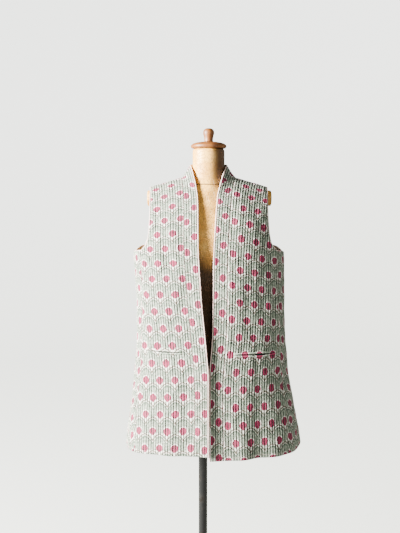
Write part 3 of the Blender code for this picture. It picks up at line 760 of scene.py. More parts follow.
def flower_masks():
    """Masks of one flower and its arch, from a place in millimetres about its centre."""
    group, given, made = node_group(
        "flower_masks",
        [("X", "NodeSocketFloat"), ("Y", "NodeSocketFloat")],
        [(name, "NodeSocketFloat") for name in ("Crimson", "Cream", "Brown", "Shade")],
    )
    x = sums(group, "ABSOLUTE", given.outputs["X"])
    y = given.outputs["Y"]
    below = sums(group, "MINIMUM", y, 0.0)
    breadth = sums(group, "MULTIPLY_ADD", below, 0.12, 10.0)
    across = sums(group, "POWER", sums(group, "DIVIDE", x, breadth), 2.0)
    upright = sums(group, "POWER", sums(group, "DIVIDE", sums(group, "ABSOLUTE", y), 11.75), 2.0)
    around = sums(group, "SQRT", sums(group, "ADD", across, upright))
    past_head = sums(group, "MULTIPLY", sums(group, "SUBTRACT", around, 1.0), 10.8)
    head = ramp(group, past_head, -0.35, 0.35, 1, 0)
    outline = ramp(group, past_head, 2.1, 2.9, 1, 0)
    lowered = sums(group, "ABSOLUTE", sums(group, "ADD", y, 7.0))
    point = ramp(group, sums(group, "MULTIPLY_ADD", lowered, 2.4, x), 16.4, 18.4, 1, 0)
    tip = sums(group, "MULTIPLY_ADD", sums(group, "ADD", y, 21.5), -0.62, x)
    vee = sums(group, "MULTIPLY", ramp(group, tip, -0.4, 0.4, 1, 0), ramp(group, y, -5, -4, 1, 0))
    flower = sums(group, "MAXIMUM", sums(group, "MAXIMUM", outline, point), vee)
    stem = ramp(group, x, 0.7, 1.3, 1, 0)
    stem = sums(group, "MULTIPLY", stem, ramp(group, y, -29.5, -28.5, 0, 1))
    stem = sums(group, "MULTIPLY", stem, ramp(group, y, -21, -20, 1, 0))
    run = sums(group, "POWER", sums(group, "DIVIDE", x, 21.25), 1.7)
    arch = sums(group, "SUBTRACT", sums(group, "MULTIPLY_ADD", run, -19.0, 41.0), y)
    arch = sums(group, "MULTIPLY", arch, 0.85)
    line = ramp(group, sums(group, "ABSOLUTE", arch), 0.95, 1.65, 1, 0)
    inner = sums(group, "ABSOLUTE", sums(group, "SUBTRACT", arch, 2.7))
    inner = ramp(group, inner, 0.35, 0.9, 1, 0)
    shade = sums(group, "ABSOLUTE", sums(group, "SUBTRACT", arch, 6.6))
    shade = ramp(group, shade, 1.6, 2.9, 1, 0)
    feed(group, made.inputs["Crimson"], head)
    feed(group, made.inputs["Cream"], sums(group, "MAXIMUM", flower, inner))
    feed(group, made.inputs["Brown"], sums(group, "MAXIMUM", stem, line))
    feed(group, made.inputs["Shade"], shade)
    return group


def block_print(masks):
    """Ink masks over the cloth, from its place in millimetres."""
    names = ("Crimson", "Cream", "Brown", "Shade")
    group, given, made = node_group(
        "block_print",
        [("Place", "NodeSocketVector")],
        [(name, "NodeSocketFloat") for name in names],
    )
    place = given.outputs["Place"]
    wander = group.nodes.new("ShaderNodeTexNoise")
    wander.inputs["Scale"].default_value = 0.035
    wander.inputs["Detail"].default_value = 2
    feed(group, wander.inputs["Vector"], place)
    moved = group.nodes.new("ShaderNodeVectorMath")
    moved.operation = "MULTIPLY_ADD"
    feed(group, moved.inputs[0], wander.outputs["Color"])
    moved.inputs[1].default_value = (4.0, 4.0, 0)
    feed(group, moved.inputs[2], place)
    ragged = group.nodes.new("ShaderNodeTexNoise")
    ragged.inputs["Scale"].default_value = 0.7
    feed(group, ragged.inputs["Vector"], place)
    rough = group.nodes.new("ShaderNodeVectorMath")
    rough.operation = "MULTIPLY_ADD"
    feed(group, rough.inputs[0], ragged.outputs["Color"])
    rough.inputs[1].default_value = (1.3, 1.3, 0)
    feed(group, rough.inputs[2], moved.outputs[0])
    axes = group.nodes.new("ShaderNodeSeparateXYZ")
    feed(group, axes.inputs[0], rough.outputs[0])
    drawn = []
    for drop in (0.0, 0.5):
        x = sums(group, "MULTIPLY_ADD", axes.outputs["X"], 1 / PRINT_ACROSS, drop)
        x = sums(group, "MULTIPLY", sums(group, "SUBTRACT", sums(group, "FRACT", x), 0.5), PRINT_ACROSS)
        y = sums(group, "MULTIPLY_ADD", axes.outputs["Y"], 1 / PRINT_UP, drop)
        y = sums(group, "MULTIPLY", sums(group, "SUBTRACT", sums(group, "FRACT", y), 0.5), PRINT_UP)
        drawn.append(use_group(group, masks, X=x, Y=y))
    for name in names:
        feed(group, made.inputs[name], sums(group, "MAXIMUM", drawn[0][name], drawn[1][name]))
    return group


def weave_relief():
    """The relief of a plain weave, from the cloth's place in millimetres."""
    group, given, made = node_group(
        "weave_relief", [("Place", "NodeSocketVector")], [("Height", "NodeSocketFloat")]
    )
    axes = group.nodes.new("ShaderNodeSeparateXYZ")
    feed(group, axes.inputs[0], given.outputs["Place"])
    threads = [
        sums(group, "SINE", sums(group, "MULTIPLY", axes.outputs[axis], 2 * math.pi / 0.62))
        for axis in ("X", "Y")
    ]
    slub = cloud(group, given.outputs["Place"], 0.6, 2, 0.5, (1, 0.2, 1))
    woven = sums(group, "MULTIPLY", threads[0], threads[1])
    feed(group, made.inputs["Height"], sums(group, "MULTIPLY_ADD", slub, 0.8, woven))
    return group


masks = flower_masks()
print_inks = block_print(masks)
weave = weave_relief()
SAGE = (0.205, 0.262, 0.188)
DEEP_SAGE = (0.085, 0.120, 0.082)
CREAM = (0.93, 0.87, 0.78)
CRIMSON = (0.33, 0.001, 0.066)
DEEP_CRIMSON = (0.14, 0.001, 0.030)
BROWN = (0.115, 0.066, 0.040)
LINING = (0.50, 0.46, 0.38)
QUILT_STITCH = 4.4
printed_cotton, tree, shader = material_named("printed_cotton")
cloth_map = tree.nodes.new("ShaderNodeUVMap")
cloth_map.uv_map = "cloth"
in_mm = tree.nodes.new("ShaderNodeVectorMath")
in_mm.operation = "SCALE"
feed(tree, in_mm.inputs[0], cloth_map.outputs[0])
in_mm.inputs["Scale"].default_value = 100.0
place = in_mm.outputs[0]
quilt_map = tree.nodes.new("ShaderNodeUVMap")
quilt_map.uv_map = "quilt"
quilt = tree.nodes.new("ShaderNodeSeparateXYZ")
feed(tree, quilt.inputs[0], quilt_map.outputs[0])
inks = use_group(tree, print_inks, Place=place)
thin_ink = cloud(tree, place, 0.16, 4, 0.6)
streak = cloud(tree, place, 0.33, 3, 0.55, (1.6, 0.16, 1))
ground = blend_colour(tree, ramp(tree, thin_ink, 0.35, 0.7, 0, 0.35), SAGE, CREAM)
ground = blend_colour(tree, sums(tree, "MULTIPLY", inks["Shade"], 0.72), ground, DEEP_SAGE)
ground = blend_colour(tree, sums(tree, "MULTIPLY", inks["Brown"], 0.85), ground, BROWN)
ground = blend_colour(tree, sums(tree, "MULTIPLY", inks["Cream"], 0.92), ground, CREAM)
head = blend_colour(tree, ramp(tree, streak, 0.46, 0.66), CRIMSON, DEEP_CRIMSON)
head = blend_colour(tree, ramp(tree, thin_ink, 0.58, 0.8, 0, 0.4), head, (0.62, 0.10, 0.20))
colour = blend_colour(tree, sums(tree, "MULTIPLY", inks["Crimson"], 0.97), ground, head)
rib = sums(tree, "FRACT", quilt.outputs["X"])
# Painted shade: the valleys between the quilted ribs are darkened to near black, broken up by noise.
valley_shade = sums(tree, "ABSOLUTE", sums(tree, "SUBTRACT", rib, 0.5))
valley_shade = ramp(tree, valley_shade, 0.17, 0.40)
broken = cloud(tree, place, 0.09, 2, 0.5, (1.0, 0.55, 1))
valley_shade = sums(tree, "MULTIPLY", valley_shade, ramp(tree, broken, 0.34, 0.56, 0.62, 1.0))
inside = ramp(tree, quilt.outputs["Y"], 0.4, 0.6)
colour = blend_colour(tree, valley_shade, colour, (0.012, 0.017, 0.011))
on_line = ramp(tree, sums(tree, "ABSOLUTE", sums(tree, "SUBTRACT", rib, 0.5)), 0.462, 0.48)
along = tree.nodes.new("ShaderNodeSeparateXYZ")
feed(tree, along.inputs[0], place)
step = sums(tree, "FRACT", sums(tree, "MULTIPLY", along.outputs["Y"], 1 / QUILT_STITCH))
shown = sums(tree, "MULTIPLY", on_line, ramp(tree, step, 0.40, 0.48, 0.35, 0))
colour = blend_colour(tree, shown, colour, (0.24, 0.24, 0.19))
colour = blend_colour(tree, inside, colour, LINING)
feed(tree, shader.inputs["Base Color"], colour)
shader.inputs["Roughness"].default_value = 0.88
shader.inputs["Sheen Weight"].default_value = 0.12
shader.inputs["Specular IOR Level"].default_value = 0.25
wrinkle = cloud(tree, place, 0.3, 3, 0.6)
relief = sums(tree, "MULTIPLY_ADD", wrinkle, 2.2, use_group(tree, weave, Place=place)["Height"])
bumped(tree, shader, relief, 0.00025, 0.6)


# The panels: two fronts and one back. Each is a closed wall, ribbed by its quilting outside and
# plain inside. The ribs pucker unevenly along their hand stitches, and flatten at the hem's turn.
WALL = 2.0
GAP = 0.3
PITCH = 7.5
RIB_RISE = 1.75
FINE = 5
INNER_EVERY = 10
HEM_TURN = 7.0
EDGE_COLUMNS = ("level", "left", "right")
FRONT_EDGES = (
    (600, 0.4, 0.4),
    (869, 0.5, 0.5),
    (968, 9.0, 8.0),
    (1079, 19.5, 11.0),
    (1217, 28.0, 13.0),
    (1320, 30.0, 22.0),
    (1445, 39.0, 39.0),
)
BAND_WIDTH = 40.0
EDGING = 3.5
SIDE_SEAMS = (
    (600, 226, 240),
    (690, 223, 235),
    (850, 213, 222),
    (1061, 204, 210),
    (1205, 204, 205),
)
HEM_COLUMNS = ("share", "left", "right")
HEM = (
    (0.0, 643, 626),
    (0.25, 637, 630),
    (0.5, 630, 631),
    (1.0, 634, 634),
)
ARMHOLE_COLUMNS = ("level", "front", "back")
ARMHOLE = (
    (1212, 192.0, 190.0),
    (1230, 177.0, 179.0),
    (1250, 171.0, 174.0),
    (1282, 167.5, 171.0),
    (1320, 166.0, 169.5),
    (1390, 167.0, 168.5),
    (1445, 168.5, 168.5),
)
UNDERARM = 1212.0
UNDERARM_DIP = 9.0
POCKETS = {
    # side: near and far distance from the centreline, level, and how far the mouth gapes
    -1: (75, 182, 930, 1.9),
    1: (70, 188, 923, 3.3),
}
POCKET_FLAT = 0.72
LOW_ROWS = 132
HIGH_ROWS = 52
low_shares = np.linspace(0, 1, LOW_ROWS + 1)
low_shares[1] = 0.0022
high_levels = UNDERARM + (RIDGE - UNDERARM) * np.arange(1, HIGH_ROWS + 1) / HIGH_ROWS


# Where the print lies on each panel: shifts in millimetres and scales, across and up, and how much
# its rows slope at the hem and at the chest. The upper cloth is laid a little fuller.
PRINT_LAY = {
    "left": (6.8, 0.934, 25.1, 1.018, 0.09, 0.05),
    "right": (-16.2, 1.0, -31.0, 0.976, 0.0, 0.22),
    "back": (0.0, 1.0, 12.0, 1.0, 0.0, 0.0),
    "band_left": (11.25, 1.0, 76.2, 0.96, 0.0, 0.0),
    "band_right": (31.25, 1.0, 38.0, 0.96, 0.0, 0.0),
}
PRINT_FULLER_FROM = 440.0
PRINT_FULLER = 0.00055
LEVEL_AGAIN = (620.0, 140.0)


def print_place(name, across, up):
    """The place on the print, in millimetres, of points across from a seam and up the cloth."""
    over, wide, along, tall, slope_low, slope_high = PRINT_LAY[name]
    rise = np.clip((up - 180) / 440, 0, 1)
    slope = slope_low + (slope_high - slope_low) * rise * rise * (3 - 2 * rise)
    level_again = np.clip((up - LEVEL_AGAIN[0]) / LEVEL_AGAIN[1], 0, 1)
    slope = slope * (1 - level_again * level_again * (3 - 2 * level_again))
    fuller = PRINT_FULLER * np.maximum(up - PRINT_FULLER_FROM, 0) ** 2
    full = up + fuller + slope * np.abs(across)
    return np.stack([across * wide + over, full * tall + along], -1)


def seam_girth(side, level):
    return table_curve(level, FRONT_EDGES, EDGE_COLUMNS, SIDES[side]) + BAND_WIDTH


def hem_height(side, share):
    return table_curve(share, HEM, HEM_COLUMNS, SIDES[side])


def side_seam(side):
    """Levels and girths of the side seam, from the hem to the underarm."""
    start = table_curve(0, SIDE_SEAMS, EDGE_COLUMNS, SIDES[side]) / total_girth(side, 700.0)
    hem = float(hem_height(side, start))
    levels = hem + (UNDERARM - hem) * low_shares
    return levels, table_curve(levels, SIDE_SEAMS, EDGE_COLUMNS, SIDES[side])


def rib_height(seed, columns, height):
    """How far the quilted ribs stand out, at columns in fine steps and heights in millimetres."""
    rib = np.floor(columns / FINE + 1e-9)
    sway = 0.10 * soft_noise(seed, rib * 0.37, height / 31)
    across = np.clip(columns / FINE - rib + sway * np.sin(math.pi * (columns / FINE - rib)), 0, 1)
    round_top = np.sin(math.pi * across) ** 0.62
    pucker = soft_noise(seed + 1, rib * 1.7, height / 9.5 + rib * 3.3)
    slack = soft_noise(seed + 2, rib * 0.9, height / 43)
    return RIB_RISE * round_top * (0.80 + 0.20 * pucker + 0.36 * slack)


def strip_faces(columns, strips, ends):
    """Faces between rows of points, as keys (column, row). A column past a row's end is its end."""
    for row, above, low, high in strips:
        inside = [column for column in columns if low <= column <= high]
        for left, right in zip(inside, inside[1:]):
            corners = []
            for column, level in ((left, row), (right, row), (right, above), (left, above)):
                key = (min(max(column, ends[level][0]), ends[level][1]), level)
                if key not in corners:
                    corners.append(key)
            if len(corners) > 2:
                yield corners


def rim_of(faces):
    """The keys along the edge of a sheet of faces, in order."""
    edges = {pair for face in faces for pair in zip(face, face[1:] + face[:1])}
    following = {a: b for a, b in edges if (b, a) not in edges}
    rim = [min(following)]
    while following[rim[-1]] != rim[0]:
        rim.append(following[rim[-1]])
    return rim


def lay_maps(piece, cloth, quilt):
    """The two coordinate maps of a cloth mesh, from a pair of values at each of its points."""
    mesh = piece.data
    corners = np.zeros(len(mesh.loops), np.int32)
    mesh.loops.foreach_get("vertex_index", corners)
    for name, values in (("cloth", np.asarray(cloth) / 100), ("quilt", np.asarray(quilt))):
        layer = mesh.uv_layers.new(name=name)
        layer.data.foreach_set("uv", values[corners].astype(np.float32).ravel())


def cloth_wall(name, outer, inner, cloth, quilt, first, columns, strips, ends, kept, facing):
    """A closed wall of cloth: fine outside, coarse inside, and a rim between the two.

    outer, inner, cloth and quilt hold a row for each row of points, and start at column first.
    kept is (inner columns, inner rows). facing is -1 where columns run left as seen from outside.
    """
    inner_columns, inner_rows = kept
    coarse = []
    for low_row, high_row in zip(inner_rows, inner_rows[1:]):
        spans = [strip[2:] for strip in strips if low_row <= strip[0] < high_row]
        coarse.append((low_row, high_row, *spans[0]))
    outer_faces = list(strip_faces(columns, strips, ends))
    inner_faces = list(strip_faces(inner_columns, coarse, ends))
    numbers = {}
    points = []
    cloth_values = []
    quilt_values = []
    for layer, faces, grid in (("outer", outer_faces, outer), ("inner", inner_faces, inner)):
        for key in sorted({key for face in faces for key in face}):
            numbers[layer, key] = len(points)
            column, row = key
            points.append(grid[row, column - first])
            cloth_values.append(cloth[row, column - first])
            quilt_values.append((quilt[row, column - first], float(layer == "inner")))
    built = [[numbers["outer", key] for key in face] for face in outer_faces]
    built += [[numbers["inner", key] for key in reversed(face)] for face in inner_faces]
    rim = rim_of(outer_faces)
    start = next(i for i, key in enumerate(rim) if ("inner", key) in numbers)
    rim = rim[start:] + rim[:start] + [rim[start]]
    run = [rim[0]]
    for key in rim[1:]:
        run.append(key)
        if ("inner", key) not in numbers:
            continue
        edge = [numbers["outer", k] for k in reversed(run)]
        near = numbers["inner", run[-1]]
        far = numbers["inner", run[0]]
        middle = (len(edge) - 1) // 2
        for i in range(len(edge) - 1):
            built.append([edge[i], edge[i + 1], near if i < middle else far])
        built.append([edge[middle], far, near])
        run = [key]
    if facing < 0:
        built = [face[::-1] for face in built]
    piece = put(name, to_metres(points), built)
    lay_maps(piece, cloth_values, quilt_values)
    piece.data.set_sharp_from_angle(angle=math.radians(70))
    return piece


def make_front(side):
    """A front: from the band's seam to the side seam and armhole, and up to the shoulder."""
    name = SIDES[side]
    step = PITCH / FINE
    seam_levels, seam_girths = side_seam(side)
    edge_levels = np.concatenate([seam_levels, high_levels])
    arm = table_curve(high_levels, ARMHOLE, ARMHOLE_COLUMNS, "front")
    arm_girths = [girth_at(side, distance) for distance in arm]
    edge_girths = np.concatenate([seam_girths - GAP / 2, arm_girths])
    rows = len(edge_levels)
    lasts = np.floor((edge_girths - seam_girth(side, edge_levels)) / step - 0.4).astype(int) + 1
    widest = int(lasts.max())
    column = np.arange(widest + 1)[None, :].repeat(rows, axis=0)
    share = (BAND_WIDTH + column * step) / total_girth(side, 700.0)
    hem = hem_height(side, share)
    level = hem + (UNDERARM - hem) * np.pad(low_shares, (0, HIGH_ROWS), constant_values=1)[:, None]
    level[LOW_ROWS + 1:] = high_levels[:, None]
    girth = seam_girth(side, level) + column * step
    for row in range(rows):
        level[row, lasts[row]:] = edge_levels[row]
        girth[row, lasts[row]:] = edge_girths[row]
    points, out = on_cloth(side, girth, level)
    points[-1, :, 1] = -GAP / 2
    levels, length = cloth_length(side, 130)
    up = np.interp(level, levels, length)
    across = girth - seam_girth(side, level)
    width = (edge_girths - seam_girth(side, edge_levels))[:, None]
    fade = np.clip(np.minimum(across, width - across) / 4.0, 0, 1)
    fade = fade * np.clip((RIDGE - level) / 5, 0, 1)
    turn = np.clip((level - hem) / HEM_TURN, 0, 1)
    ribs = rib_height(20 + side, across / step, up) * fade
    ribs *= 0.25 + 0.75 * np.clip((level - hem - HEM_TURN) / 5, 0, 1)
    ribs += 0.7 * (turn < 1) * np.sqrt(np.clip((level - hem) / 2, 0, 1))
    near, far, pocket_level, _ = POCKETS[side]
    sewn_flat = np.clip(1.8 - np.abs(level - pocket_level) / 5, 0, 1)
    sewn_flat *= np.clip((girth - girth_at(side, near)) / 4 + 1, 0, 1)
    sewn_flat *= np.clip((girth_at(side, far) - girth) / 4 + 1, 0, 1)
    ribs *= 1 - POCKET_FLAT * sewn_flat
    outer = points + out * ribs[..., None]
    inner = points - out * WALL
    cloth = print_place(name, side * across, up)
    columns = range(widest + 1)
    strips = [(row, row + 1, 0, widest) for row in range(rows - 1)]
    ends = [(0, int(last)) for last in lasts]
    inner_columns = sorted({*range(0, widest + 1, INNER_EVERY), widest})
    inner_rows = sorted({*range(0, LOW_ROWS, 4), *range(LOW_ROWS, rows, 4), rows - 1})
    return cloth_wall(
        f"quilted_front_{name}", outer, inner, cloth, across / PITCH, 0, columns, strips, ends,
        (inner_columns, inner_rows), side,
    )


NECK_BACK = 62.0
NECK_INSET = 1.0


def neck_level(reach):
    """The level of the back neckline at a distance from the centre back."""
    x = np.minimum(np.abs(reach), NECK_POINT[0])
    behind = NECK_BACK * np.sqrt(1 - (x / NECK_POINT[0]) ** 2)
    xs, ys, arc = half_ring(1, CHEST)
    depth = np.interp(arc[-1] - x, arc, ys)
    angle = np.arccos(np.clip((behind / depth) ** (BACK_POWER / 2), 0, 1))
    return np.where(np.abs(reach) >= NECK_POINT[0], RIDGE, CHEST + DOME * angle / (math.pi / 2))


def make_back():
    """The back: from side seam to side seam, and up to armholes, shoulders and neckline."""
    step = PITCH / FINE
    rows = LOW_ROWS + 1 + HIGH_ROWS
    arm = table_curve(high_levels, ARMHOLE, ARMHOLE_COLUMNS, "back")
    halves = {}
    for side in (-1, 1):
        seam_levels, seam_girths = side_seam(side)
        whole = float(total_girth(side, CHEST))
        edge_levels = np.concatenate([seam_levels, high_levels])
        arm_girths = [girth_at(side, distance, behind=True) for distance in arm]
        edge_girths = np.concatenate([seam_girths + GAP / 2, arm_girths])
        reaches = total_girth(side, edge_levels) - edge_girths
        lasts = np.floor(reaches / step - 0.4).astype(int) + 1
        start = round((whole - girth_at(side, ARMHOLE[0][2], behind=True)) / step)
        seam_reach = whole - float(table_curve(CHEST, SIDE_SEAMS, EDGE_COLUMNS, SIDES[side]))
        widest = int(lasts.max())
        column = np.arange(widest + 1)[None, :].repeat(rows, axis=0)
        reach = column * step
        hem = hem_height(side, 1 - reach / total_girth(side, 700.0))
        way = np.clip((reach - start * step) / (seam_reach - start * step), 0, 1)
        underarm = UNDERARM - UNDERARM_DIP * np.sin(math.pi * way) ** 2
        low = np.pad(low_shares, (0, HIGH_ROWS), constant_values=1)[:, None]
        level = hem + (underarm - hem) * low
        high = (high_levels - UNDERARM) / (RIDGE - UNDERARM)
        top = neck_level(reach[0])
        level[LOW_ROWS + 1:] = UNDERARM + (top - UNDERARM)[None, :] * high[:, None]
        girth = total_girth(side, level) - reach
        for row in range(rows):
            level[row, lasts[row]:] = edge_levels[row]
            girth[row, lasts[row]:] = edge_girths[row]
        reach = total_girth(side, level) - girth
        points, out = on_cloth(side, girth, level)
        points[-1, level[-1] >= RIDGE - 0.01, 1] = GAP / 2
        levels, length = cloth_length(side, total_girth(side, CHEST) - 120)
        up = np.interp(level, levels, length)
        fade = np.clip((reaches[:, None] - reach) / 4.0, 0, 1)
        fade = fade * np.clip((top[None, :] - level) / 5, 0, 1)
        ribs = rib_height(31 + side, reach / step, up) * fade
        ribs *= 0.25 + 0.75 * np.clip((level - hem - HEM_TURN) / 5, 0, 1)
        turned_up = np.sqrt(np.clip((level - hem) / 2, 0, 1)) * (level - hem < HEM_TURN)
        ribs += 0.7 * turned_up
        halves[side] = (
            points + out * ribs[..., None], points - out * WALL,
            print_place("back", side * reach, up), side * reach / PITCH, lasts, start,
        )
    joined = [
        np.concatenate([halves[-1][i][:, :0:-1], halves[1][i]], axis=1) for i in range(4)
    ]
    outer, inner, cloth, quilt = joined
    low_end = halves[-1][0].shape[1] - 1
    high_end = halves[1][0].shape[1] - 1
    ends = [(-int(a), int(b)) for a, b in zip(halves[-1][4], halves[1][4])]
    upper = (-halves[-1][5], halves[1][5])
    strips = [(row, row + 1, -low_end, high_end) for row in range(LOW_ROWS)]
    strips += [(row, row + 1, *upper) for row in range(LOW_ROWS, rows - 1)]
    corner = round(NECK_POINT[0] / step)
    beside = {side * (corner + at) for side in (-1, 1) for at in (-10, -5, -2, 0, 3)}
    inner_columns = sorted(
        {*range(-low_end, high_end + 1, INNER_EVERY), -low_end, high_end, *upper, *beside}
    )
    inner_rows = sorted({*range(0, LOW_ROWS, 4), *range(LOW_ROWS, rows, 4), rows - 1})
    return cloth_wall(
        "quilted_back", outer, inner, cloth, quilt, -low_end, range(-low_end, high_end + 1),
        strips, ends, (inner_columns, inner_rows), -1,
    )


for side in (-1, 1):
    front = make_front(side)
    seat(front, printed_cotton, "printed_cotton", f"front_{SIDES[side]}")
back = make_back()
seat(back, printed_cotton, "printed_cotton", "back")

# The front bands: one strip of the same print on each side, quilted lengthwise in five channels,
# that runs from the hem up the front edge and stands up as a collar round to the centre back.
BAND_CHANNELS = 5
BAND_FINE = 6
BAND_RISE = 1.3
EDGE_LEAST = 0.3
COLLAR_START = 1320.0
COLLAR_EASE = 34.0
COLLAR_BACK_ROWS = 28
COLLAR_COLUMNS = ("way", "left", "right", "y", "z")
COLLAR_EDGE = (
    (0.33, 33.5, 27.0, -69.0, 1381),
    (0.66, 40.0, 35.5, -51.0, 1412),
    (1.0, 49.5, 48.0, -16.0, 1446),
    (1.25, 53.0, 53.0, 12.0, 1454),
    (1.6, 39.0, 39.0, 40.0, 1457),
    (2.0, 0.0, 0.0, 55.0, 1458),
)


def front_edge(side, level):
    return table_curve(level, FRONT_EDGES, EDGE_COLUMNS, SIDES[side])


def band_ground(side, columns):
    """The band's cloth, a row of points for each height: its seam first and its free edge last."""
    hem = float(hem_height(side, 0.04))
    levels = np.concatenate([hem + (UNDERARM - hem) * low_shares, high_levels])
    t = np.linspace(0, 1, columns + 1)
    edges = front_edge(side, levels)[:, None]
    free_edges = np.maximum(edges, EDGE_LEAST)
    girth = (edges + BAND_WIDTH - GAP) * (1 - t)[None, :] + free_edges * t[None, :]
    flat = on_cloth(side, girth, np.repeat(levels[:, None], columns + 1, axis=1))[0]
    start = on_cloth(side, front_edge(side, np.array([COLLAR_START])), np.array([COLLAR_START]))
    x, y, z = start[0][0]
    collar = ((0.0, abs(x), abs(x), y, z), *COLLAR_EDGE)

    def free_edge(way):
        axes = [table_curve(way, collar, COLLAR_COLUMNS, axis) for axis in (SIDES[side], "y", "z")]
        return np.stack([side * axes[0], axes[1], axes[2]], 1)

    standing = levels > COLLAR_START
    way = (levels[standing] - COLLAR_START) / (RIDGE - COLLAR_START)
    seam = flat[standing, 0]
    free = free_edge(way)
    straight = seam[:, None] * (1 - t)[None, :, None] + free[:, None] * t[None, :, None]
    leave = np.clip((levels[standing] - COLLAR_START) / COLLAR_EASE, 0, 1)
    leave = (leave * leave * (3 - 2 * leave))[:, None, None]
    flat[standing] = flat[standing] * (1 - leave) + straight * leave
    turn = np.arange(1, COLLAR_BACK_ROWS + 1) / COLLAR_BACK_ROWS
    inset = GAP + NECK_INSET * np.sin(math.pi * turn)
    x = (NECK_POINT[0] - inset) * np.cos(turn * math.pi / 2)
    behind = (NECK_BACK - inset) * np.sin(turn * math.pi / 2)
    xs, ys, arc = half_ring(1, CHEST)
    depth = np.interp(arc[-1] - x, arc, ys)
    z = CHEST + (shoulder_height(x) - CHEST) * (1 - (behind / depth) ** BACK_POWER) ** (1 / BACK_POWER)
    seam = np.stack([side * x, behind, z], 1)
    free = free_edge(1 + turn)
    round_back = seam[:, None] * (1 - t)[None, :, None] + free[:, None] * t[None, :, None]
    round_back[-1, :, 0] = side * GAP / 2
    return np.concatenate([flat, round_back]), hem


def make_band(side):
    """One band with its collar, and its free edge with the directions that its edging needs."""
    columns = BAND_CHANNELS * BAND_FINE
    whole, hem = band_ground(side, columns)
    toward = whole[:, -1] - whole[:, -2]
    width = np.linalg.norm(np.diff(whole, axis=1), axis=2).sum(axis=1)
    t = np.linspace(0, 1, columns + 1)
    kept = (1 - (EDGING + GAP) / width)[:, None] * t[None, :] * columns
    left = np.minimum(kept.astype(int), columns - 1)
    over = (kept - left)[..., None]
    row = np.arange(len(whole))[:, None]
    grid = whole[row, left] * (1 - over) + whole[row, left + 1] * over
    out = np.cross(np.gradient(grid, axis=0), np.gradient(grid, axis=1)) * side
    out /= np.linalg.norm(out, axis=2, keepdims=True)
    out[-1, :, 0] = 0
    middle = grid[:, columns // 2]
    up = np.concatenate([[0], np.linalg.norm(np.diff(middle, axis=0), axis=1).cumsum()])
    up = np.repeat(up[:, None], columns + 1, axis=1)
    across = np.linspace(0, BAND_WIDTH - EDGING, columns + 1)[None, :].repeat(len(grid), axis=0)
    column = np.arange(columns + 1)[None, :].repeat(len(grid), axis=0)
    rib = column / BAND_FINE
    pucker = soft_noise(51 + side, np.floor(rib) * 1.7, up / 10)
    slack = soft_noise(54 + side, np.floor(rib) * 0.9, up / 37)
    height = BAND_RISE * np.abs(np.sin(math.pi * rib)) ** 0.75 * (0.85 + 0.25 * pucker + 0.2 * slack)
    height *= 0.25 + 0.75 * np.clip((up - HEM_TURN) / 5, 0, 1)
    height += 0.7 * (up < HEM_TURN) * np.sqrt(np.clip(up / 2, 0, 1))
    outer = grid + out * height[..., None]
    inner = grid - out * WALL
    cloth = print_place("band_" + SIDES[side], -side * across, up)
    rows = len(grid)
    piece = cloth_wall(
        f"front_band_{SIDES[side]}", outer, inner, cloth, rib, 0, range(columns + 1),
        [(row, row + 1, 0, columns) for row in range(rows - 1)], [(0, columns)] * rows,
        (range(0, columns + 1, 6), sorted({*range(0, rows, 3), rows - 1})), -side,
    )
    return piece, whole[:, -1], toward / np.linalg.norm(toward, axis=1, keepdims=True), out[:, -1]


def oval_tube(name, centres, across, out, half_width, half_height, sides=12):
    """A closed tube of oval section along a line of centres, in millimetres."""
    turn = 2 * np.pi * np.arange(sides) / sides
    wide = np.cos(turn)[None, :, None] * across[:, None] * np.reshape(half_width, (-1, 1, 1))
    high = np.sin(turn)[None, :, None] * out[:, None] * np.reshape(half_height, (-1, 1, 1))
    points = (centres[:, None] + wide + high).reshape(-1, 3)
    faces = [list(range(sides))[::-1], [(len(centres) - 1) * sides + i for i in range(sides)]]
    for row in range(len(centres) - 1):
        for i in range(sides):
            j = (i + 1) % sides
            low = row * sides
            faces.append([low + i, low + j, low + sides + j, low + sides + i])
    if np.dot(np.cross(across[0], out[0]), centres[1] - centres[0]) < 0:
        faces = [face[::-1] for face in faces]
    piece = put(name, to_metres(points), faces)
    piece.data.set_sharp_from_angle(angle=math.radians(60))
    return piece


# The pale edging: a bias strip of undyed pinkish cotton rolled over a cord. It edges both bands
# and the collar, and a thinner one binds each armhole.
pale_edge, tree, shader = material_named("pale_edge")
where = place_of(tree)
in_mm = tree.nodes.new("ShaderNodeVectorMath")
in_mm.operation = "SCALE"
feed(tree, in_mm.inputs[0], where)
in_mm.inputs["Scale"].default_value = 1000.0
stain = cloud(tree, in_mm.outputs[0], 0.05, 4, 0.6)
colour = blend_colour(tree, ramp(tree, stain, 0.35, 0.7), (0.80, 0.62, 0.55), (0.68, 0.46, 0.42))
feed(tree, shader.inputs["Base Color"], colour)
shader.inputs["Roughness"].default_value = 0.85
shader.inputs["Sheen Weight"].default_value = 0.15
shader.inputs["Specular IOR Level"].default_value = 0.25
thread = use_group(tree, weave, Place=in_mm.outputs[0])["Height"]
bumped(tree, shader, sums(tree, "MULTIPLY_ADD", stain, 3.0, thread), 0.0002, 0.5)
for side in (-1, 1):
    band_piece, line, toward, out = make_band(side)
    seat(band_piece, printed_cotton, "printed_cotton", f"band_{SIDES[side]}")
    along = np.arange(len(line)) * 4.0
    plump = 1 + 0.08 * soft_noise(61 + side, 3.0, along / 17) + 0.05 * soft_noise(64, 7.0, along / 6)
    centres = line - toward * EDGING / 2 - out * WALL / 2
    edging = oval_tube(
        f"rolled_edging_{SIDES[side]}", centres, toward, out, EDGING / 2 * plump, 1.95 * plump
    )
    seat(edging, pale_edge, "pale_edge", f"edging_{SIDES[side]}")


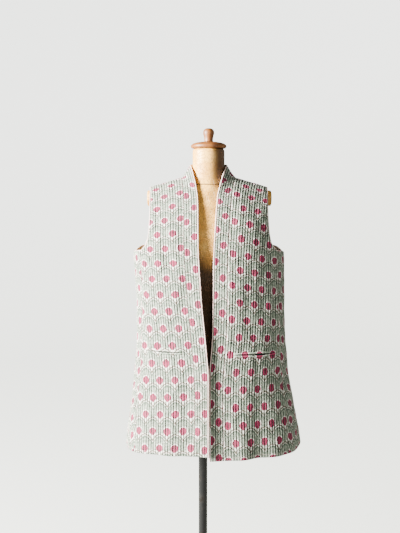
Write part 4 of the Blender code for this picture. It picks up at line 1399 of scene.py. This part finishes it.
def armhole_line(side):
    """The armhole's edge from the shoulder down the front, under the arm and up the back."""
    down = high_levels[::-1]
    front = table_curve(down, ARMHOLE, ARMHOLE_COLUMNS, "front")
    behind = table_curve(high_levels, ARMHOLE, ARMHOLE_COLUMNS, "back")
    front_girths = np.array([girth_at(side, distance) for distance in front])
    back_girths = np.array([girth_at(side, distance, behind=True) for distance in behind])
    seam = float(table_curve(CHEST, SIDE_SEAMS, EDGE_COLUMNS, SIDES[side]))
    start = girth_at(side, ARMHOLE[0][1])
    stop = girth_at(side, ARMHOLE[0][2], behind=True)
    under_front = np.linspace(start, seam, 8)
    under_back = np.linspace(seam, stop, 12)[1:]
    dip = UNDERARM_DIP * np.sin(math.pi * np.linspace(0, 1, 12)[1:]) ** 2
    girths = np.concatenate([front_girths, under_front, under_back, back_girths])
    levels = np.concatenate([down, np.full(8, UNDERARM), UNDERARM - dip, high_levels])
    return on_cloth(side, girths, levels)


for side in (-1, 1):
    centres, out = armhole_line(side)
    centres[[0, -1], 1] = (-GAP / 2, GAP / 2)
    run = np.gradient(centres, axis=0)
    run /= np.linalg.norm(run, axis=1, keepdims=True)
    across = np.cross(run, out)
    across /= np.linalg.norm(across, axis=1, keepdims=True)
    binding = oval_tube(
        f"armhole_binding_{SIDES[side]}", centres - out * WALL / 2, across, out, 1.5, 1.75, 10
    )
    seat(binding, pale_edge, "pale_edge")

# The pockets: a slit in each front with two narrow welts of the same print. The welts are rolled
# and sag open a little, and a near-black sheet in the slit is painted shade for the pocket's dark inside.
WELT_STEPS = 72
WELT_WIDTH = 5.0
WELT_BASE = 1.0
WELT_RISE = 2.3
pocket_shadow, tree, shader = material_named("pocket_shadow")
feed(tree, shader.inputs["Base Color"], (0.006, 0.005, 0.004))
feed(tree, shader.inputs["Roughness"], ramp(tree, cloud(tree, place_of(tree), 400), 0.3, 0.7, 0.9, 1))
for side, (near, far, z, gape) in POCKETS.items():
    share = np.linspace(0, 1, WELT_STEPS + 1)
    start = girth_at(side, near)
    end = girth_at(side, far)
    girths = start + (end - start) * share
    seam = seam_girth(side, z)
    levels, length = cloth_length(side, 130)
    sag = 0.9 * np.sin(math.pi * share) + 0.35 * soft_noise(71 + side, 5.0, share * 9)
    sag *= np.clip(np.minimum(share, 1 - share) / 0.08, 0, 1)
    ends_in = np.sqrt(np.clip(np.minimum(share, 1 - share) / 0.035, 0, 1))
    for name, way in (("upper", 1), ("lower", -1)):
        turn = np.linspace(0, math.pi, 9)
        lip = 0.45 + np.maximum(sag, 0) * gape * (0.35 if way > 0 else 1.0)
        drop = lip[:, None] + (WELT_WIDTH - 0.45) * (1 - np.cos(turn))[None, :] / 2
        level = z + way * drop
        girth = np.repeat(girths[:, None], 9, axis=1)
        ground, out = on_cloth(side, girth, level)
        pinch = 1 + 0.12 * soft_noise(75 + side + way, 2.0, share * 24)
        rise = WELT_BASE + WELT_RISE * (ends_in * pinch)[:, None] * np.sin(turn)[None, :] ** 0.7
        top = ground + out * rise[..., None]
        floor = ground + out * 0.3
        section = np.concatenate([top, floor[:, ::-1]], axis=1)
        count = section.shape[1]
        up = np.interp(level, levels, length)
        flat_maps = print_place(SIDES[side], side * (girth - seam), up)
        flat_maps = np.concatenate([flat_maps, flat_maps[:, ::-1]], axis=1)
        faces = [list(range(count)), [WELT_STEPS * count + i for i in reversed(range(count))]]
        for step in range(WELT_STEPS):
            for i in range(count):
                j = (i + 1) % count
                low = step * count
                faces.append([low + i, low + count + i, low + count + j, low + j])
        if side * way < 0:
            faces = [face[::-1] for face in faces]
        welt = put(f"pocket_welt_{name}_{SIDES[side]}", to_metres(section.reshape(-1, 3)), faces)
        quilt = np.tile((0.5, 0.0), (len(welt.data.vertices), 1))
        lay_maps(welt, flat_maps.reshape(-1, 2), quilt)
        welt.data.set_sharp_from_angle(angle=math.radians(60))
        seat(welt, printed_cotton, "printed_cotton", f"pocket_{name}_{SIDES[side]}")
    # The near-black sheet in each slit is painted shade for the pocket's dark inside.
    mouth_level = z + np.linspace(-4.4, 2.6, 5)
    girth = np.repeat(girths[2:-2, None], 5, axis=1)
    ground, out = on_cloth(side, girth, np.repeat(mouth_level[None, :], len(girth), axis=0))
    ground = ground + out * 1.55
    rows, count = ground.shape[:2]
    faces = []
    for row in range(rows - 1):
        for i in range(count - 1):
            low = row * count + i
            faces.append([low, low + count, low + count + 1, low + 1])
    if side < 0:
        faces = [face[::-1] for face in faces]
    mouth = put(f"pocket_shadow_{SIDES[side]}", to_metres(ground.reshape(-1, 3)), faces)
    seat(mouth, pocket_shadow, "printed_cotton")

# Sewing in undyed thread: the band seams, the hem's turn and the side seams are topstitched by
# hand, and a short bar of stitches holds each end of the pocket mouths.
STITCH_PITCH = 4.2
STITCH_HALF = 1.35
STITCH_RADIUS = 0.3
STITCH_PROUD = 0.12
STITCH_REACH = 6.0
SEAM_INSET = 1.3
STITCH_SIDES = 6
STITCH_RINGS = ((-1.0, 0.35), (-0.8, 1.0), (0.8, 1.0), (1.0, 0.35))


def outside_of(*pieces):
    """The surfaces of some cloth pieces, to lay stitches on."""
    trees = []
    for piece in pieces:
        points = [vertex.co.copy() for vertex in piece.data.vertices]
        faces = [tuple(face.vertices) for face in piece.data.polygons]
        trees.append(BVHTree.FromPolygons(points, faces))
    return trees


def laid_on(trees, points, out):
    """Points let down on the outermost surface, and which of them met cloth."""
    laid = np.array(points)
    met = np.zeros(len(points), bool)
    for number, (point, away) in enumerate(zip(points, out)):
        above = Vector(to_metres(point + away * STITCH_REACH))
        hits = [tree.ray_cast(above, Vector(-away), 2 * STITCH_REACH * MM) for tree in trees]
        falls = [hit[3] for hit in hits if hit[3] is not None]
        if falls:
            met[number] = True
            laid[number] = point + away * (STITCH_REACH - min(falls) / MM + STITCH_PROUD)
    return laid, met


def stitch_points(trees, line, out):
    """Middles, runs and outward directions of the stitches along a line on the cloth."""
    steps = np.linalg.norm(np.diff(line, axis=0), axis=1)
    length = np.concatenate([[0], steps.cumsum()])
    middle = np.arange(STITCH_PITCH, length[-1] - STITCH_PITCH, STITCH_PITCH)
    ends = []
    kept = np.ones(len(middle), bool)
    for at in (middle - STITCH_HALF, middle + STITCH_HALF):
        points = np.stack([np.interp(at, length, line[:, axis]) for axis in range(3)], 1)
        away = np.stack([np.interp(at, length, out[:, axis]) for axis in range(3)], 1)
        away /= np.linalg.norm(away, axis=1, keepdims=True)
        laid, met = laid_on(trees, points, away)
        ends.append(laid)
        kept &= met
    run = ends[1] - ends[0]
    kept &= np.linalg.norm(run, axis=1) < 3 * STITCH_HALF
    run = run[kept] / np.linalg.norm(run[kept], axis=1, keepdims=True)
    up = away[kept] - run * np.sum(away[kept] * run, axis=1, keepdims=True)
    up /= np.linalg.norm(up, axis=1, keepdims=True)
    return (ends[0][kept] + ends[1][kept]) / 2, run, up


def sew(name, seams):
    """One piece of short rounded stitches along several seams."""
    points = []
    faces = []
    turn = 2 * np.pi * np.arange(STITCH_SIDES) / STITCH_SIDES
    for middles, run, away in seams:
        across = np.cross(run, away)
        for middle, forward, up, wide in zip(middles, run, away, across):
            first = len(points)
            for place, size in STITCH_RINGS:
                radius = STITCH_RADIUS * size
                ring = middle + forward * STITCH_HALF * place
                ring = ring + radius * (
                    np.cos(turn)[:, None] * wide + np.sin(turn)[:, None] * up
                )
                points.extend(ring)
            for ring in range(len(STITCH_RINGS) - 1):
                for i in range(STITCH_SIDES):
                    j = (i + 1) % STITCH_SIDES
                    low = first + ring * STITCH_SIDES
                    faces.append([low + i, low + STITCH_SIDES + i, low + STITCH_SIDES + j, low + j])
            last = first + (len(STITCH_RINGS) - 1) * STITCH_SIDES
            faces.append([first + i for i in range(STITCH_SIDES)])
            faces.append([last + i for i in reversed(range(STITCH_SIDES))])
    seat(put(name, to_metres(points), faces), pale_edge, "pale_edge")


for side in (-1, 1):
    front = bpy.data.objects[f"quilted_front_{SIDES[side]}"]
    cloth = outside_of(front, back)
    hem = float(hem_height(side, 0.1))
    levels = np.linspace(hem + 10, RIDGE - 6, 200)
    lines = [on_cloth(side, seam_girth(side, levels) + SEAM_INSET, levels)]
    girths = np.linspace(seam_girth(side, hem) + 3, total_girth(side, 640.0) - 1, 260)
    turned = hem_height(side, girths / total_girth(side, 700.0)) + HEM_TURN + SEAM_INSET
    lines.append(on_cloth(side, girths, turned))
    levels, girths = side_seam(side)
    lines.append(on_cloth(side, girths[8:-2] + SEAM_INSET, levels[8:-2]))
    near, far, level, _ = POCKETS[side]
    levels = np.linspace(level - 9, level + 9, 9)
    for girth in (girth_at(side, near) - SEAM_INSET, girth_at(side, far) + SEAM_INSET):
        lines.append(on_cloth(side, np.full(9, girth), levels))
    sew(f"stitching_{SIDES[side]}", [stitch_points(cloth, *line) for line in lines])
